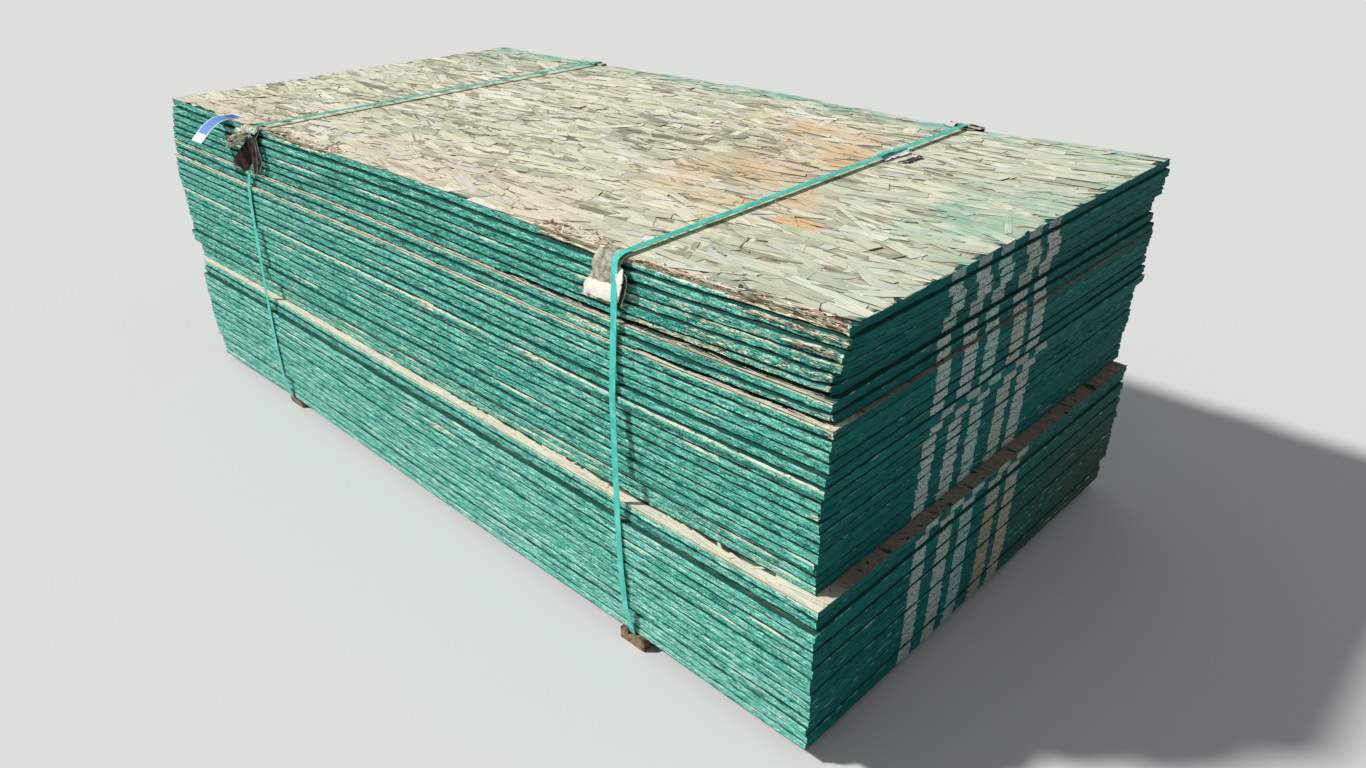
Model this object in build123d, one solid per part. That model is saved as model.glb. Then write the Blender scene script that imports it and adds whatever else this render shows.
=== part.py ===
from build123d import *
import math
import os
import random
from dataclasses import dataclass, field

# A weathered unit of 4 x 8 ft OSB panels, held by two plastic straps.
# +X runs along the panels' length, the sunlit long side with the tag faces -Y, +Z is up.

# OSB panel: 23/32 in when new, swollen to a little more by rain
panel_length = 2438.0
panel_width = 1219.0
panel_thickness = 18.9
seat_gap = 0.3

# Wooden runners: each has a groove along its top for the strap
runner_width = 70.0
runner_height = 30.0
groove_width = 26.0
groove_depth = 9.0
runner_arris = 2.0

# Plastic strap, 5/8 in wide
strap_width = 16.0
strap_thickness = 0.9
weld_length = 42.0
weld_lift = 1.1
tail_length = 64.0
tail_radius = 40.0
tail_curl = 3.5
slip_share = 0.1

# Paperboard edge guard: an angle of laminated board, bulged off the arris where it was crushed
guard_thickness = 4.5
guard_top_leg = 26.0
guard_front_leg = 92.0
guard_bend_radius = 6.0
guard_seat = 0.6
bulge_share = 0.55
ply_thickness = 1.4
ply_clearance = 3.0
ply_share = 0.85

# Printed tag: one stiff card, flat on the top panel and curling out over the front edge
tag_width = 64.0
tag_thickness = 0.8
tag_bend_radius = 60.0
tag_from_x = -879.0
tag_curl = [(-89.0, -49.0), (-54.0, -17.5), (-20.0, 2.0), (8.0, 0.0), (40.0, 0.0)]

# How the stack bows between its ends, straps and middle: (X, height) of the bottom panel's
# underside, and of the top panel's. Wet ends swell and hang down beyond the runners, and the
# straps pinch the stack.
bow_reach = 1250.0
bow_seat = runner_height + 2 * seat_gap
bow_bottom = [(-bow_reach, 19.0), (-738.0, bow_seat), (0.0, 24.5), (770.0, bow_seat), (bow_reach, 28.0)]
bow_top = [(-bow_reach, 829.0), (-665.0, 824.5), (0.0, 829.0), (731.0, 819.5), (bow_reach, 830.0)]
bow_shares = [0.0, 0.08, 0.25, 0.5, 0.75, 0.92]

# Small random unevenness of the hand-stacked panels
stack_jitter = 1.6
jitter_seed = 11


@dataclass
class Run:
    """Neighbouring panels that were stacked together, from the top of the stack down."""

    count: int
    shift: float
    out_right: float
    out_left: float


@dataclass
class Place:
    """Where one panel lies: its centre, its level from 0 at the bottom, its turn in degrees."""

    x: float
    y: float
    level: int
    turn: float

    def side(self, x, sign):
        """Y of the panel's front (-1) or back (+1) edge at this X."""
        turn = math.radians(self.turn)
        return self.y + (x - self.x) * math.tan(turn) + sign * panel_width / 2 / math.cos(turn)

    def bow(self):
        """The places of the panel's own bow, between those of the bottom and the top panel."""
        share = self.level / (panel_count - 1)
        return [
            (low_x + (top_x - low_x) * share, low_z + (top_z - low_z) * share)
            for (low_x, low_z), (top_x, top_z) in zip(bow_bottom, bow_top)
        ]

    def under(self, x):
        """Height of the panel's underside at this X, which is level at each place of its bow."""
        line = self.bow()
        for (left, start), (right, stop) in zip(line, line[1:]):
            if x <= right:
                break
        share = (x - left) / (right - left)
        return start + (stop - start) * share * share * (3 - 2 * share)

    def over(self, x):
        """Height of the panel's upper face at this X."""
        return self.under(x) + panel_thickness


@dataclass
class StrapLine:
    """X of a strap's middle at the four corners of the stack, and the places along its weld."""

    top_front: float
    top_back: float
    bottom_front: float
    bottom_back: float
    slip: float = 0.0
    weld_from_front: float = 0.0

    def at(self, across, up):
        """X of the middle where across and up go from 0 at the front bottom to 1 at the back top.
        The front leg has slipped aside where it comes off its crushed guard."""
        low = self.bottom_front + (self.bottom_back - self.bottom_front) * across
        high = self.top_front + (self.top_back - self.top_front) * across
        slipped = self.slip * min(1, (1 - up) / slip_share) * (1 - across)
        return low + (high + slipped - low) * up


@dataclass
class Guard:
    """One edge guard: its width, how far it bulges up and out, and its split plies."""

    left_of_strap: float
    right_of_strap: float
    rise: float
    bulge: float
    drop: float
    left_plies: list = field(default_factory=list)
    right_plies: list = field(default_factory=list)


# How far each run stands out at the front, at its right and its left end, and how far it is
# shifted along the stack. The panels were piled by hand in three lifts.
runs = [
    Run(1, 1.0, 0.0, 4.0),
    Run(1, 6.0, 6.0, 12.0),
    Run(2, 4.0, 14.0, 17.0),
    Run(2, -9.0, 20.0, 20.0),
    Run(1, -1.0, 25.0, 27.0),
    Run(1, 3.0, 30.0, 27.0),
    Run(4, 6.0, 33.0, 39.0),
    Run(1, 10.0, 42.0, 39.0),
    Run(1, 14.0, 48.0, 40.0),
    Run(6, -5.0, 33.0, 35.0),
    Run(1, -4.0, 33.0, 41.0),
    Run(1, -9.0, 33.0, 36.0),
    Run(3, -15.0, 20.0, 21.0),
    Run(1, 18.0, 46.0, 32.0),
    Run(1, 14.0, 48.0, 36.0),
    Run(6, 20.0, 59.0, 47.0),
    Run(5, 18.0, 56.0, 46.0),
    Run(4, 4.0, 42.0, 33.0),
]
panel_count = sum(run.count for run in runs)

weld_from_front = 896.0
strap_lines = {
    "left": StrapLine(-650.0, -680.0, -738.0, -738.0, -44.0),
    "right": StrapLine(747.0, 715.0, 770.0, 770.0, 0.0, weld_from_front),
}
runner_front_reach = {"left": -8.0, "right": 3.0}

front_guards = {
    "left": Guard(62.0, 42.0, 4.0, 13.0, guard_front_leg, [28, 52, 78], [40, 72]),
    "right": Guard(92.0, 15.0, 2.0, 13.0, guard_front_leg, [], [80]),
}
back_guards = {
    "left": Guard(38.0, 34.0, 7.0, 5.0, 60.0),
    "right": Guard(30.0, 34.0, 7.0, 5.0, 60.0),
}

# Broken corners at the near right corner, by panel number: along X and along Y. The break runs
# in by this share of both at its middle. A cut starts this far outside the panel.
corner_bend = 0.35
overcut = 1.0
broken_corners = {2: (16.0, 12.0), 4: (20.0, 16.0), 5: (26.0, 20.0), 6: (14.0, 9.0), 8: (12.0, 10.0)}

# Frayed stretches of the front edge: panel number, from X, to X, how deep, how far down
frayed_edges = [
    (1, 985.0, 1205.0, 15.0, 14.0),
    (1, 540.0, 665.0, 13.0, 15.0),
    (2, 1030.0, 1190.0, 9.0, 12.0),
    (1, -610.0, -520.0, 10.0, 12.0),
    (3, 1110.0, 1200.0, 7.0, 10.0),
]


def stack_places():
    """The place of every panel, from the top one down."""
    jitter = random.Random(jitter_seed)
    places = []
    for run in runs:
        out = (run.out_right + run.out_left) / 2
        turn = math.degrees(math.atan2(run.out_left - run.out_right, panel_length))
        for _ in range(run.count):
            x = run.shift + jitter.uniform(-stack_jitter, stack_jitter)
            y = -out + jitter.uniform(-stack_jitter, stack_jitter)
            places.append(Place(x, y, panel_count - 1 - len(places), turn))
    return places


places = stack_places()
top_panel = places[0]
bottom_panel = places[-1]


def make_panel(number, place):
    """One bowed panel with its frayed front edge and its broken corner."""
    spans = zip(place.bow(), place.bow()[1:])
    xs = [left + (right - left) * share for (left, _), (right, _) in spans for share in bow_shares]
    xs.append(bow_reach)
    under = [(x, place.under(x)) for x in xs]
    over = [(x, place.over(x)) for x in reversed(xs)]
    outline = Polyline(*under, *over, close=True)
    sheet = extrude(Plane.XZ * make_face(outline), amount=panel_width, both=True)
    front = -panel_width / 2
    end = panel_length / 2
    where = Pos(place.x, place.y, 0) * Rot(0, 0, place.turn)
    rise = place.over(0) + panel_width
    panel = sheet & where * Box(panel_length, panel_width, 2 * rise)
    for owner, start, stop, depth, drop in frayed_edges:
        if owner == number:
            middle = (start + stop) / 2
            bite = Polyline((start, front - overcut), (stop, front - overcut), (stop, front))
            bite += Spline((stop, front), (middle + depth, front + depth), (start, front))
            bite += Line((start, front), (start, front - overcut))
            cutter = extrude(make_face(bite), amount=drop + panel_thickness)
            panel -= where * Pos(0, 0, place.over(middle) - drop) * cutter
    if number in broken_corners:
        along, deep = broken_corners[number]
        corner = Polyline(
            (end + overcut, front - overcut),
            (end - along, front - overcut),
            (end - along, front),
            (end - along * corner_bend, front + deep * corner_bend),
            (end, front + deep),
            (end + overcut, front + deep),
            close=True,
        )
        panel -= where * extrude(make_face(corner), amount=rise)
    return panel


def make_runner(line, reach):
    """A runner across the stack's underside, with the strap's groove along its top."""
    middle = (line.bottom_front + line.bottom_back) / 2
    front = bottom_panel.side(middle, -1) - reach
    back = bottom_panel.side(middle, 1)
    body = Box(
        runner_width, back - front, runner_height, align=(Align.CENTER, Align.MIN, Align.MIN)
    )
    body = chamfer(body.edges().filter_by(Axis.Y), runner_arris)
    groove = Box(
        groove_width, back - front, groove_depth, align=(Align.CENTER, Align.MIN, Align.MAX)
    )
    return Pos(middle, front, 0) * (body - Pos(0, 0, runner_height) * groove)


def bent_board(points, radius, thickness):
    """The section of a bent sheet. The points are its inner face's corners, and the sheet lies
    on the left of the line from the first to the last."""
    inner = [Vector(*point) for point in points]
    steps = [(b - a).normalized() for a, b in zip(inner, inner[1:])]
    turns = [a.cross(b).Z for a, b in zip(steps, steps[1:])]
    steps = [steps[0]] + steps + [steps[-1]]
    normals = [Vector(-step.Y, step.X) for step in steps]
    outer = []
    for point, a, b in zip(inner, normals, normals[1:]):
        outer.append(point + (a + b) * (thickness / (1 + a.dot(b))))
    inner_radii = [radius if turn < 0 else radius + thickness for turn in turns]
    outer_radii = [radius + thickness if turn < 0 else radius for turn in turns]
    outline = FilletPolyline(*inner, radius=inner_radii)
    outline += Line(inner[-1], outer[-1])
    outline += FilletPolyline(*outer, radius=outer_radii)
    outline += Line(outer[0], inner[0])
    return make_face(outline.edges())


def guard_corners(guard, edge_out):
    """Corners of a guard's inner face: (outward from the top panel's edge, up from its top)."""
    face = max(edge_out) + seat_gap
    beside = guard_bend_radius / 3
    return [
        (-guard_top_leg, guard_seat),
        (-guard_top_leg * (1 - bulge_share), guard_seat),
        (-beside, guard_seat + guard.rise),
        (guard.bulge, -beside),
        (face, -guard.drop * bulge_share),
        (face, -guard.drop),
    ]


def guard_section(line, guard, side):
    """The guard's section in the YZ plane of the stack, for the front (-1) or back (+1) edge."""
    x = line.top_front if side < 0 else line.top_back
    edge = top_panel.side(x, side)
    top = top_panel.over(x)
    reach = x - guard.left_of_strap, x + guard.right_of_strap
    covered = [place for place in places if place.over(x) > top - guard.drop]
    edge_out = [side * (place.side(at, side) - edge) for place in covered for at in reach]
    corners = guard_corners(guard, edge_out)
    section = bent_board(corners, guard_bend_radius, guard_thickness)
    if side < 0:
        section = mirror(section, Plane.YZ)
    return Pos(edge, top) * section


def make_guard(line, guard, side):
    """A guard: its bent board, and the plies that have split off and swung outwards."""
    x = line.top_front if side < 0 else line.top_back
    section = guard_section(line, guard, side)
    plane = Plane((0, 0, 0), x_dir=(0, 1, 0), z_dir=(1, 0, 0))
    board = extrude(plane * section, amount=guard.left_of_strap + guard.right_of_strap)
    board = Pos(x - guard.left_of_strap, 0, 0) * board
    low = top_panel.over(x) - guard.drop
    root = board.faces().sort_by(Axis.Z)[0].center().Y
    lean = line.at((1 + side) / 2, low / top_panel.over(x))
    for angles, turn in ((guard.left_plies, -1), (guard.right_plies, 1)):
        hinge = max(x * turn, lean * turn) * turn + turn * (strap_width / 2 + ply_clearance)
        tip = x - guard.left_of_strap if turn < 0 else x + guard.right_of_strap
        for index, angle in enumerate(angles):
            ply = Box(
                abs(tip - hinge),
                ply_thickness,
                guard.drop * ply_share,
                align=(Align.MIN, Align.CENTER, Align.MIN),
            )
            swing = 180 + angle if turn < 0 else -angle
            board += Pos(hinge, root, low) * Rot(0, 0, swing) * ply
    return board


def taut_loop(points):
    """The corners of the smallest convex loop round the points, anticlockwise."""
    ordered = sorted(set(points))

    def half(sequence):
        chain = []
        for point in sequence:
            while len(chain) > 1:
                (ay, az), (by, bz) = chain[-2], chain[-1]
                if (by - ay) * (point[1] - az) - (bz - az) * (point[0] - ay) > 1e-6:
                    break
                chain.pop()
            chain.append(point)
        return chain[:-1]

    return half(ordered) + half(reversed(ordered))


def strap_corners(name):
    """Every corner that the strap bears on, as (Y, Z), found by pulling a loop tight."""
    line = strap_lines[name]
    points = []
    for place in places:
        up = place.level / (panel_count - 1)
        for across, side in ((0, -1), (1, 1)):
            x = line.at(across, up)
            points.append((place.side(x, side), place.under(x)))
            points.append((place.side(x, side), place.over(x)))
    for side, guards in ((-1, front_guards), (1, back_guards)):
        section = guard_section(line, guards[name], side)
        for edge in section.edges():
            for step in range(9):
                spot = edge @ (step / 8)
                points.append((spot.X, spot.Y))
    return taut_loop(points)


def strap_middle(line, corners, spot):
    """X of a strap's middle at a spot (Y, Z) of its loop."""
    ys = [y for y, _ in corners]
    zs = [z for _, z in corners]
    across = (spot[0] - min(ys)) / (max(ys) - min(ys))
    up = (spot[1] - min(zs)) / (max(zs) - min(zs))
    return line.at(across, up)


def make_strap(name):
    """A strap: straight legs between the corners of its loop, joined by small round bends."""
    line = strap_lines[name]
    corners = strap_corners(name)
    half = strap_width / 2

    def outward(start, stop):
        return Vector(0, stop[1] - start[1], start[0] - stop[0]).normalized()

    strap = []
    count = len(corners)
    for index, corner in enumerate(corners):
        before = corners[index - 1]
        after = corners[(index + 1) % count]
        here = strap_middle(line, corners, corner)
        there = strap_middle(line, corners, after)
        normal = outward(corner, after)
        lift = normal * seat_gap
        start = Vector(here, *corner) + lift
        stop = Vector(there, *after) + lift
        across = Vector(half, 0, 0)
        leg = Polyline(start - across, start + across, stop + across, stop - across, close=True)
        strap.append(extrude(make_face(leg), amount=strap_thickness, dir=normal))
        strap.append(make_bend(here, corner, outward(before, corner), normal))
    return Part() + strap


def make_bend(x, corner, normal_in, normal_out):
    """The round bend of a strap over one corner, between the outward directions of two legs."""
    centre = Vector(x - strap_width / 2, *corner)
    middle = (normal_in + normal_out).normalized()
    inner = seat_gap
    outer = seat_gap + strap_thickness
    outline = ThreePointArc(
        centre + normal_in * inner, centre + middle * inner, centre + normal_out * inner
    )
    outline += Line(centre + normal_out * inner, centre + normal_out * outer)
    outline += ThreePointArc(
        centre + normal_out * outer, centre + middle * outer, centre + normal_in * outer
    )
    outline += Line(centre + normal_in * outer, centre + normal_in * inner)
    return extrude(make_face(outline), amount=strap_width, dir=(1, 0, 0))


def make_weld(name):
    """The friction weld on the strap's top leg, with the free tail that curls off it."""
    line = strap_lines[name]
    corners = strap_corners(name)
    y = top_panel.side(line.top_front, -1) + line.weld_from_front
    legs = zip(corners, corners[1:] + corners[:1])
    back, front = next(leg for leg in legs if leg[0][0] > y > leg[1][0])
    share = (y - front[0]) / (back[0] - front[0])
    z = front[1] + (back[1] - front[1]) * share
    slope = math.degrees(math.atan2(back[1] - front[1], back[0] - front[0]))
    x = strap_middle(line, corners, (y, z))
    lap = Box(strap_width, weld_length, weld_lift, align=(Align.CENTER, Align.CENTER, Align.MIN))
    curl = [
        (-tail_length, tail_curl / 3),
        (-tail_length / 2, tail_curl),
        (0, 0),
        (weld_length / 2, 0),
    ]
    side_plane = Plane((-strap_width / 2, -weld_length / 2, 0), x_dir=(0, 1, 0), z_dir=(1, 0, 0))
    tail = extrude(side_plane * bent_board(curl, tail_radius, weld_lift), amount=strap_width)
    surface = seat_gap + strap_thickness
    return Pos(x, y, z) * Rot(slope, 0, 0) * Pos(0, 0, surface) * (lap + tail)


def make_tag():
    """The tag: flat on the top panel at its inner end, arched out over the front edge."""
    edge = top_panel.side(tag_from_x, -1)
    seat = max(top_panel.over(tag_from_x), top_panel.over(tag_from_x + tag_width)) + seat_gap
    plane = Plane((tag_from_x, edge, seat), x_dir=(0, 1, 0), z_dir=(1, 0, 0))
    return extrude(plane * bent_board(tag_curl, tag_bend_radius, tag_thickness), amount=tag_width)


def build():
    """All pieces by node name, in the stack's own place."""
    pieces = {}
    for number, place in enumerate(places, 1):
        pieces[f"panel_{number:02d}"] = make_panel(number, place)
    for name, line in strap_lines.items():
        pieces[f"runner_{name}"] = make_runner(line, runner_front_reach[name])
        pieces[f"strap_{name}"] = make_strap(name)
        pieces[f"edge_guard_front_{name}"] = make_guard(line, front_guards[name], -1)
        pieces[f"edge_guard_back_{name}"] = make_guard(line, back_guards[name], 1)
        if line.weld_from_front:
            pieces[f"strap_{name}"] += make_weld(name)
    pieces["tag"] = make_tag()
    return pieces


pieces = build()
boxes = [piece.bounding_box() for piece in pieces.values()]
middle_x = (min(box.min.X for box in boxes) + max(box.max.X for box in boxes)) / 2
middle_y = (min(box.min.Y for box in boxes) + max(box.max.Y for box in boxes)) / 2

os.makedirs("parts", exist_ok=True)
for name, piece in pieces.items():
    export_step(Pos(-middle_x, -middle_y, 0) * piece, f"parts/{name}.step")
print(f"{panel_count} panels, moved by {-middle_x:.2f}, {-middle_y:.2f}")
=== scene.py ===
"""Looks of a weathered, strapped unit of strand board panels with green painted edges."""

import logging
import math
from dataclasses import dataclass, field
from enum import Enum
from functools import reduce
from typing import Callable, Sequence

import bmesh
import bpy
import numpy as np
from mathutils import Matrix, Vector, noise


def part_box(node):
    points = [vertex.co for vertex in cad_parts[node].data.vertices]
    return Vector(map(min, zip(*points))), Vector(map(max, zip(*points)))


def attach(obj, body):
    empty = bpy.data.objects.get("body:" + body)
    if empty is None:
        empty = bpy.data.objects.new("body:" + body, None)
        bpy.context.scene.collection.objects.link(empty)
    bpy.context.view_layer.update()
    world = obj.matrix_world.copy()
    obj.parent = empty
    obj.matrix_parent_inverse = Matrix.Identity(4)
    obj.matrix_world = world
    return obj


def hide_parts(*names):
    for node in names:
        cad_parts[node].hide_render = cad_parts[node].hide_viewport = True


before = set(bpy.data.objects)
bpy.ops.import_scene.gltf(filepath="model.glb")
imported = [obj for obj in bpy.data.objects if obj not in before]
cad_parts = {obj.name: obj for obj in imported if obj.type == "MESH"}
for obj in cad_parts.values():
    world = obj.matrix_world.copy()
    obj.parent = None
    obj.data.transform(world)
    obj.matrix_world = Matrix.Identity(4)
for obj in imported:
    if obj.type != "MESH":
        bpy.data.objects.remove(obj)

log = logging.getLogger("panel_unit")

Socket = bpy.types.NodeSocket
Colour = tuple[float, float, float]
Point = tuple[float, float, float]
Stops = tuple[tuple[float, Colour], ...]
# Two places of a soft border: where a zone is still 0, and where it is fully 1
Border = tuple[float, float]

PANEL_COUNT = 42
PANEL_LENGTH = 2.438
PANEL_WIDTH = 1.219
PANEL_THICKNESS = 0.0189
STRAP_WIDTH = 0.016
HALF_LENGTH = PANEL_LENGTH / 2
HALF_WIDTH = PANEL_WIDTH / 2
MILLIMETRE = 0.001
SHARP_ANGLE = math.radians(30)
# Part of a normal along an axis, above which a face or an edge counts as square to it or along it
SQUARE = 0.9
PARALLEL = 0.999


class Side(Enum):
    """An edge of a sheet: the axis that crosses it, and the way along that axis it faces."""

    FRONT = (1, -1)
    BACK = (1, 1)
    RIGHT = (0, 1)
    LEFT = (0, -1)


def deselect_all() -> None:
    """Leave edit mode and deselect every object."""
    if bpy.context.object and bpy.context.object.mode != "OBJECT":
        bpy.ops.object.mode_set(mode="OBJECT")
    bpy.ops.object.select_all(action="DESELECT")


def make_active(piece: bpy.types.Object) -> None:
    """Select one object alone and make it active.

    Args:
        piece: The object.
    """
    deselect_all()
    piece.select_set(True)
    bpy.context.view_layer.objects.active = piece


def select_in_edit(piece: bpy.types.Object, kind: str, test: Callable[..., bool]) -> None:
    """Select the vertices, edges or faces of the object in edit mode that pass a test.

    Args:
        piece: The object in edit mode.
        kind: "VERT", "EDGE" or "FACE".
        test: Takes a bmesh element and says whether it is selected.
    """
    bpy.ops.mesh.select_mode(type=kind)
    bpy.ops.mesh.select_all(action="DESELECT")
    mesh = bmesh.from_edit_mesh(piece.data)
    elements = {"VERT": mesh.verts, "EDGE": mesh.edges, "FACE": mesh.faces}[kind]
    for element in elements:
        if test(element):
            element.select_set(True)
    bmesh.update_edit_mesh(piece.data)


def apply_modifier(piece: bpy.types.Object, kind: str, **settings: object) -> None:
    """Add a modifier and apply it.

    Args:
        piece: The object.
        kind: The modifier's type.
        **settings: The modifier's own settings.
    """
    modifier = piece.modifiers.new(kind.lower(), kind)
    for key, value in settings.items():
        setattr(modifier, key, value)
    make_active(piece)
    bpy.ops.object.modifier_apply(modifier=modifier.name)


def link_object(name: str, data: bpy.types.ID) -> bpy.types.Object:
    """Put a mesh, a lamp or a camera in the scene.

    Args:
        name: The object's name.
        data: What the object shows.

    Returns:
        The new object.
    """
    item = bpy.data.objects.new(name, data)
    bpy.context.scene.collection.objects.link(item)
    return item


def vertex_points(mesh: bpy.types.Mesh) -> np.ndarray:
    """Read the places of a mesh's vertices.

    Args:
        mesh: The mesh.

    Returns:
        The places, one row each.
    """
    flat = np.empty(3 * len(mesh.vertices), np.float32)
    mesh.vertices.foreach_get("co", flat)
    return flat.reshape(-1, 3).astype(float)


def move_vertices(mesh: bpy.types.Mesh, points: np.ndarray) -> None:
    """Put a mesh's vertices at new places."""
    mesh.vertices.foreach_set("co", points.astype(np.float32).ravel())
    mesh.update()


def store_floats(mesh: bpy.types.Mesh, name: str, values: np.ndarray | float) -> None:
    """Store values under a name on a mesh, for a material to read.

    Args:
        mesh: The mesh.
        name: The attribute's name.
        values: One value for all vertices, or one for each.
    """
    attribute = mesh.attributes.new(name, "FLOAT", "POINT")
    filled = np.broadcast_to(np.asarray(values, np.float32), (len(mesh.vertices),))
    attribute.data.foreach_set("value", np.ascontiguousarray(filled))


def quads_object(
    name: str, points: np.ndarray, faces: np.ndarray, uvs: np.ndarray
) -> bpy.types.Object:
    """Make one mesh of quads from arrays.

    Args:
        name: The object's name.
        points: Vertex places, one row each, in metres.
        faces: Vertex numbers of the quads, one row each.
        uvs: A UV pair for each vertex.

    Returns:
        The new object, linked to the scene.
    """
    mesh = bpy.data.meshes.new(name)
    mesh.vertices.add(len(points))
    mesh.loops.add(faces.size)
    mesh.loops.foreach_set("vertex_index", faces.astype(np.int32).ravel())
    mesh.polygons.add(len(faces))
    mesh.polygons.foreach_set("loop_start", np.arange(0, faces.size, 4, dtype=np.int32))
    move_vertices(mesh, points)
    mesh.update(calc_edges=True)
    layer = mesh.uv_layers.new(name="strand_uv")
    layer.data.foreach_set("uv", uvs[faces.ravel()].astype(np.float32).ravel())
    mesh.validate()
    mesh.shade_flat()
    return link_object(name, mesh)


def wander(rng: np.random.Generator, along: np.ndarray, step: float) -> np.ndarray:
    """Draw random values that change slowly along an edge.

    Args:
        rng: Source of the values.
        along: Places along the edge.
        step: Length over which a value changes to the next.

    Returns:
        A value from -1 to 1 for each place.
    """
    low, high = along.min(), along.max()
    knots = np.arange(low, high + 2 * step, step)
    return np.interp(along, knots, rng.uniform(-1.0, 1.0, len(knots)))


def ease(value: np.ndarray, start: float, stop: float) -> np.ndarray:
    """A smooth step from 0 at start to 1 at stop."""
    share = np.clip((value - start) / (stop - start), 0.0, 1.0)
    return share * share * (3 - 2 * share)


class NodeSheet:
    """A material's node tree with short calls for the nodes that the finishes use."""

    def __init__(self, name: str) -> None:
        """Start a material with one Principled shader, and read Object coordinates.

        Args:
            name: The material's name.
        """
        self.material = bpy.data.materials.new(name)
        self.material.use_nodes = True
        self.tree = self.material.node_tree
        self.tree.nodes.clear()
        self.shader = self.add("BsdfPrincipled")
        self.add("OutputMaterial", {"Surface": self.shader.outputs[0]})
        self.place = self.add("TexCoord").outputs["Object"]
        self.x, self.y, self.z = self.axes(self.place)

    def feed(self, target: Socket, value: object) -> None:
        """Link a socket, or set a plain value, on an input.

        Args:
            target: The input.
            value: A socket, a number, a vector or a colour.
        """
        if isinstance(value, bpy.types.NodeSocket):
            self.tree.links.new(value, target)
        elif isinstance(value, (tuple, list)) and target.type == "RGBA":
            target.default_value = (*value, 1.0) if len(value) == 3 else value
        else:
            target.default_value = value

    def add(
        self, kind: str, inputs: dict[str | int, object] | None = None, **settings: object
    ) -> bpy.types.Node:
        """Add a node.

        Args:
            kind: The node's type, without the prefix that all shader nodes share.
            inputs: A socket or a plain value for each input, by its name or number.
            **settings: The node's own settings.

        Returns:
            The node.
        """
        node = self.tree.nodes.new(f"ShaderNode{kind}")
        for key, value in settings.items():
            setattr(node, key, value)
        for key, value in (inputs or {}).items():
            self.feed(node.inputs[key], value)
        return node

    def attribute(self, name: str) -> Socket:
        """A float attribute of the mesh."""
        return self.add("Attribute", attribute_name=name).outputs["Fac"]

    def uv(self) -> Socket:
        """The mesh's own strand UV map."""
        return self.add("UVMap", uv_map="strand_uv").outputs["UV"]

    def axes(self, source: Socket) -> list[Socket]:
        """The three parts of a vector."""
        return list(self.add("SeparateXYZ", {0: source}).outputs)

    def facing(self) -> Socket:
        """How far the surface faces along the unit, from -1 to 1."""
        return self.axes(self.add("NewGeometry").outputs["True Normal"])[0]

    def scaled(self, source: Socket, scale: Point, offset: Point = (0.0, 0.0, 0.0)) -> Socket:
        """A vector through a Mapping node."""
        inputs = {"Vector": source, "Scale": scale, "Location": offset}
        return self.add("Mapping", inputs).outputs[0]

    def noise(
        self, source: Socket, scale: float, detail: float = 4.0, rough: float = 0.6
    ) -> Socket:
        """Fractal noise from 0 to 1."""
        inputs = {"Vector": source, "Scale": scale, "Detail": detail, "Roughness": rough}
        return self.add("TexNoise", inputs).outputs["Fac"]

    def clouds(self, scale: float, detail: float = 4.0, rough: float = 0.6) -> Socket:
        """Noise on Object coordinates, equal along every axis."""
        return self.noise(self.place, scale, detail, rough)

    def stretched(self, scale: Point, detail: float, rough: float = 0.6) -> Socket:
        """Noise on Object coordinates with its own scale on each axis."""
        return self.noise(self.scaled(self.place, scale, scale), 1.0, detail, rough)

    def math(self, operation: str, *values: object) -> Socket:
        """A Math node."""
        return self.add("Math", dict(enumerate(values)), operation=operation).outputs[0]

    def total(self, *values: object) -> Socket:
        """Several values added."""
        return reduce(lambda first, second: self.math("ADD", first, second), values)

    def product(self, *values: object) -> Socket:
        """Several values multiplied."""
        return reduce(lambda first, second: self.math("MULTIPLY", first, second), values)

    def highest(self, *values: object) -> Socket:
        """The highest of several values."""
        return reduce(lambda first, second: self.math("MAXIMUM", first, second), values)

    def shaken(self, value: Socket, pattern: Socket, swing: float) -> Socket:
        """A value moved down or up by as much as the swing, by a pattern from 0 to 1."""
        return self.total(value, self.math("MULTIPLY_ADD", pattern, 2 * swing, -swing))

    def span(
        self, value: Socket, low: float, high: float, start: float = 0.0, stop: float = 1.0
    ) -> Socket:
        """A smooth step that goes from start at low to stop at high."""
        ends = {"Value": value, "From Min": low, "From Max": high, "To Min": start, "To Max": stop}
        return self.add("MapRange", ends, interpolation_type="SMOOTHSTEP").outputs[0]

    def fade(self, share: Socket, off: float, on: float) -> Socket:
        """A number that eases from one value where a share is 0 to another where it is 1."""
        return self.span(share, 0.0, 1.0, off, on)

    def between(self, value: Socket, first: Border, second: Border) -> Socket:
        """1 between two soft borders, each given from its outer to its inner place."""
        return self.product(self.span(value, *first), self.span(value, *second))

    def mix(self, share: object, first: object, second: object, blend: str = "MIX") -> Socket:
        """A colour mix."""
        inputs = {"Factor": share, 6: first, 7: second}
        return self.add("Mix", inputs, data_type="RGBA", blend_type=blend).outputs[2]

    def ramp(
        self, value: Socket, stops: Sequence[tuple[float, Sequence[float]]], hard: bool = False
    ) -> tuple[Socket, Socket]:
        """Turn a value into a colour.

        Args:
            value: The value, from 0 to 1.
            stops: Places and colours, with or without an alpha.
            hard: Whether a colour holds until the next stop.

        Returns:
            The colour and its alpha.
        """
        node = self.add("ValToRGB", {0: value})
        node.color_ramp.interpolation = "CONSTANT" if hard else "LINEAR"
        elements = node.color_ramp.elements
        while len(elements) < len(stops):
            elements.new(0.5)
        for element, (position, colour) in zip(elements, stops):
            element.position = position
            element.color = (*colour, 1.0) if len(colour) == 3 else colour
        return node.outputs[0], node.outputs[1]

    def shaded(self, colour: object, level: Socket, share: float = 1.0) -> Socket:
        """A colour multiplied by a grey level."""
        grey = self.add("CombineColor", dict.fromkeys(range(3), level)).outputs[0]
        return self.mix(share, colour, grey, "MULTIPLY")

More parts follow.
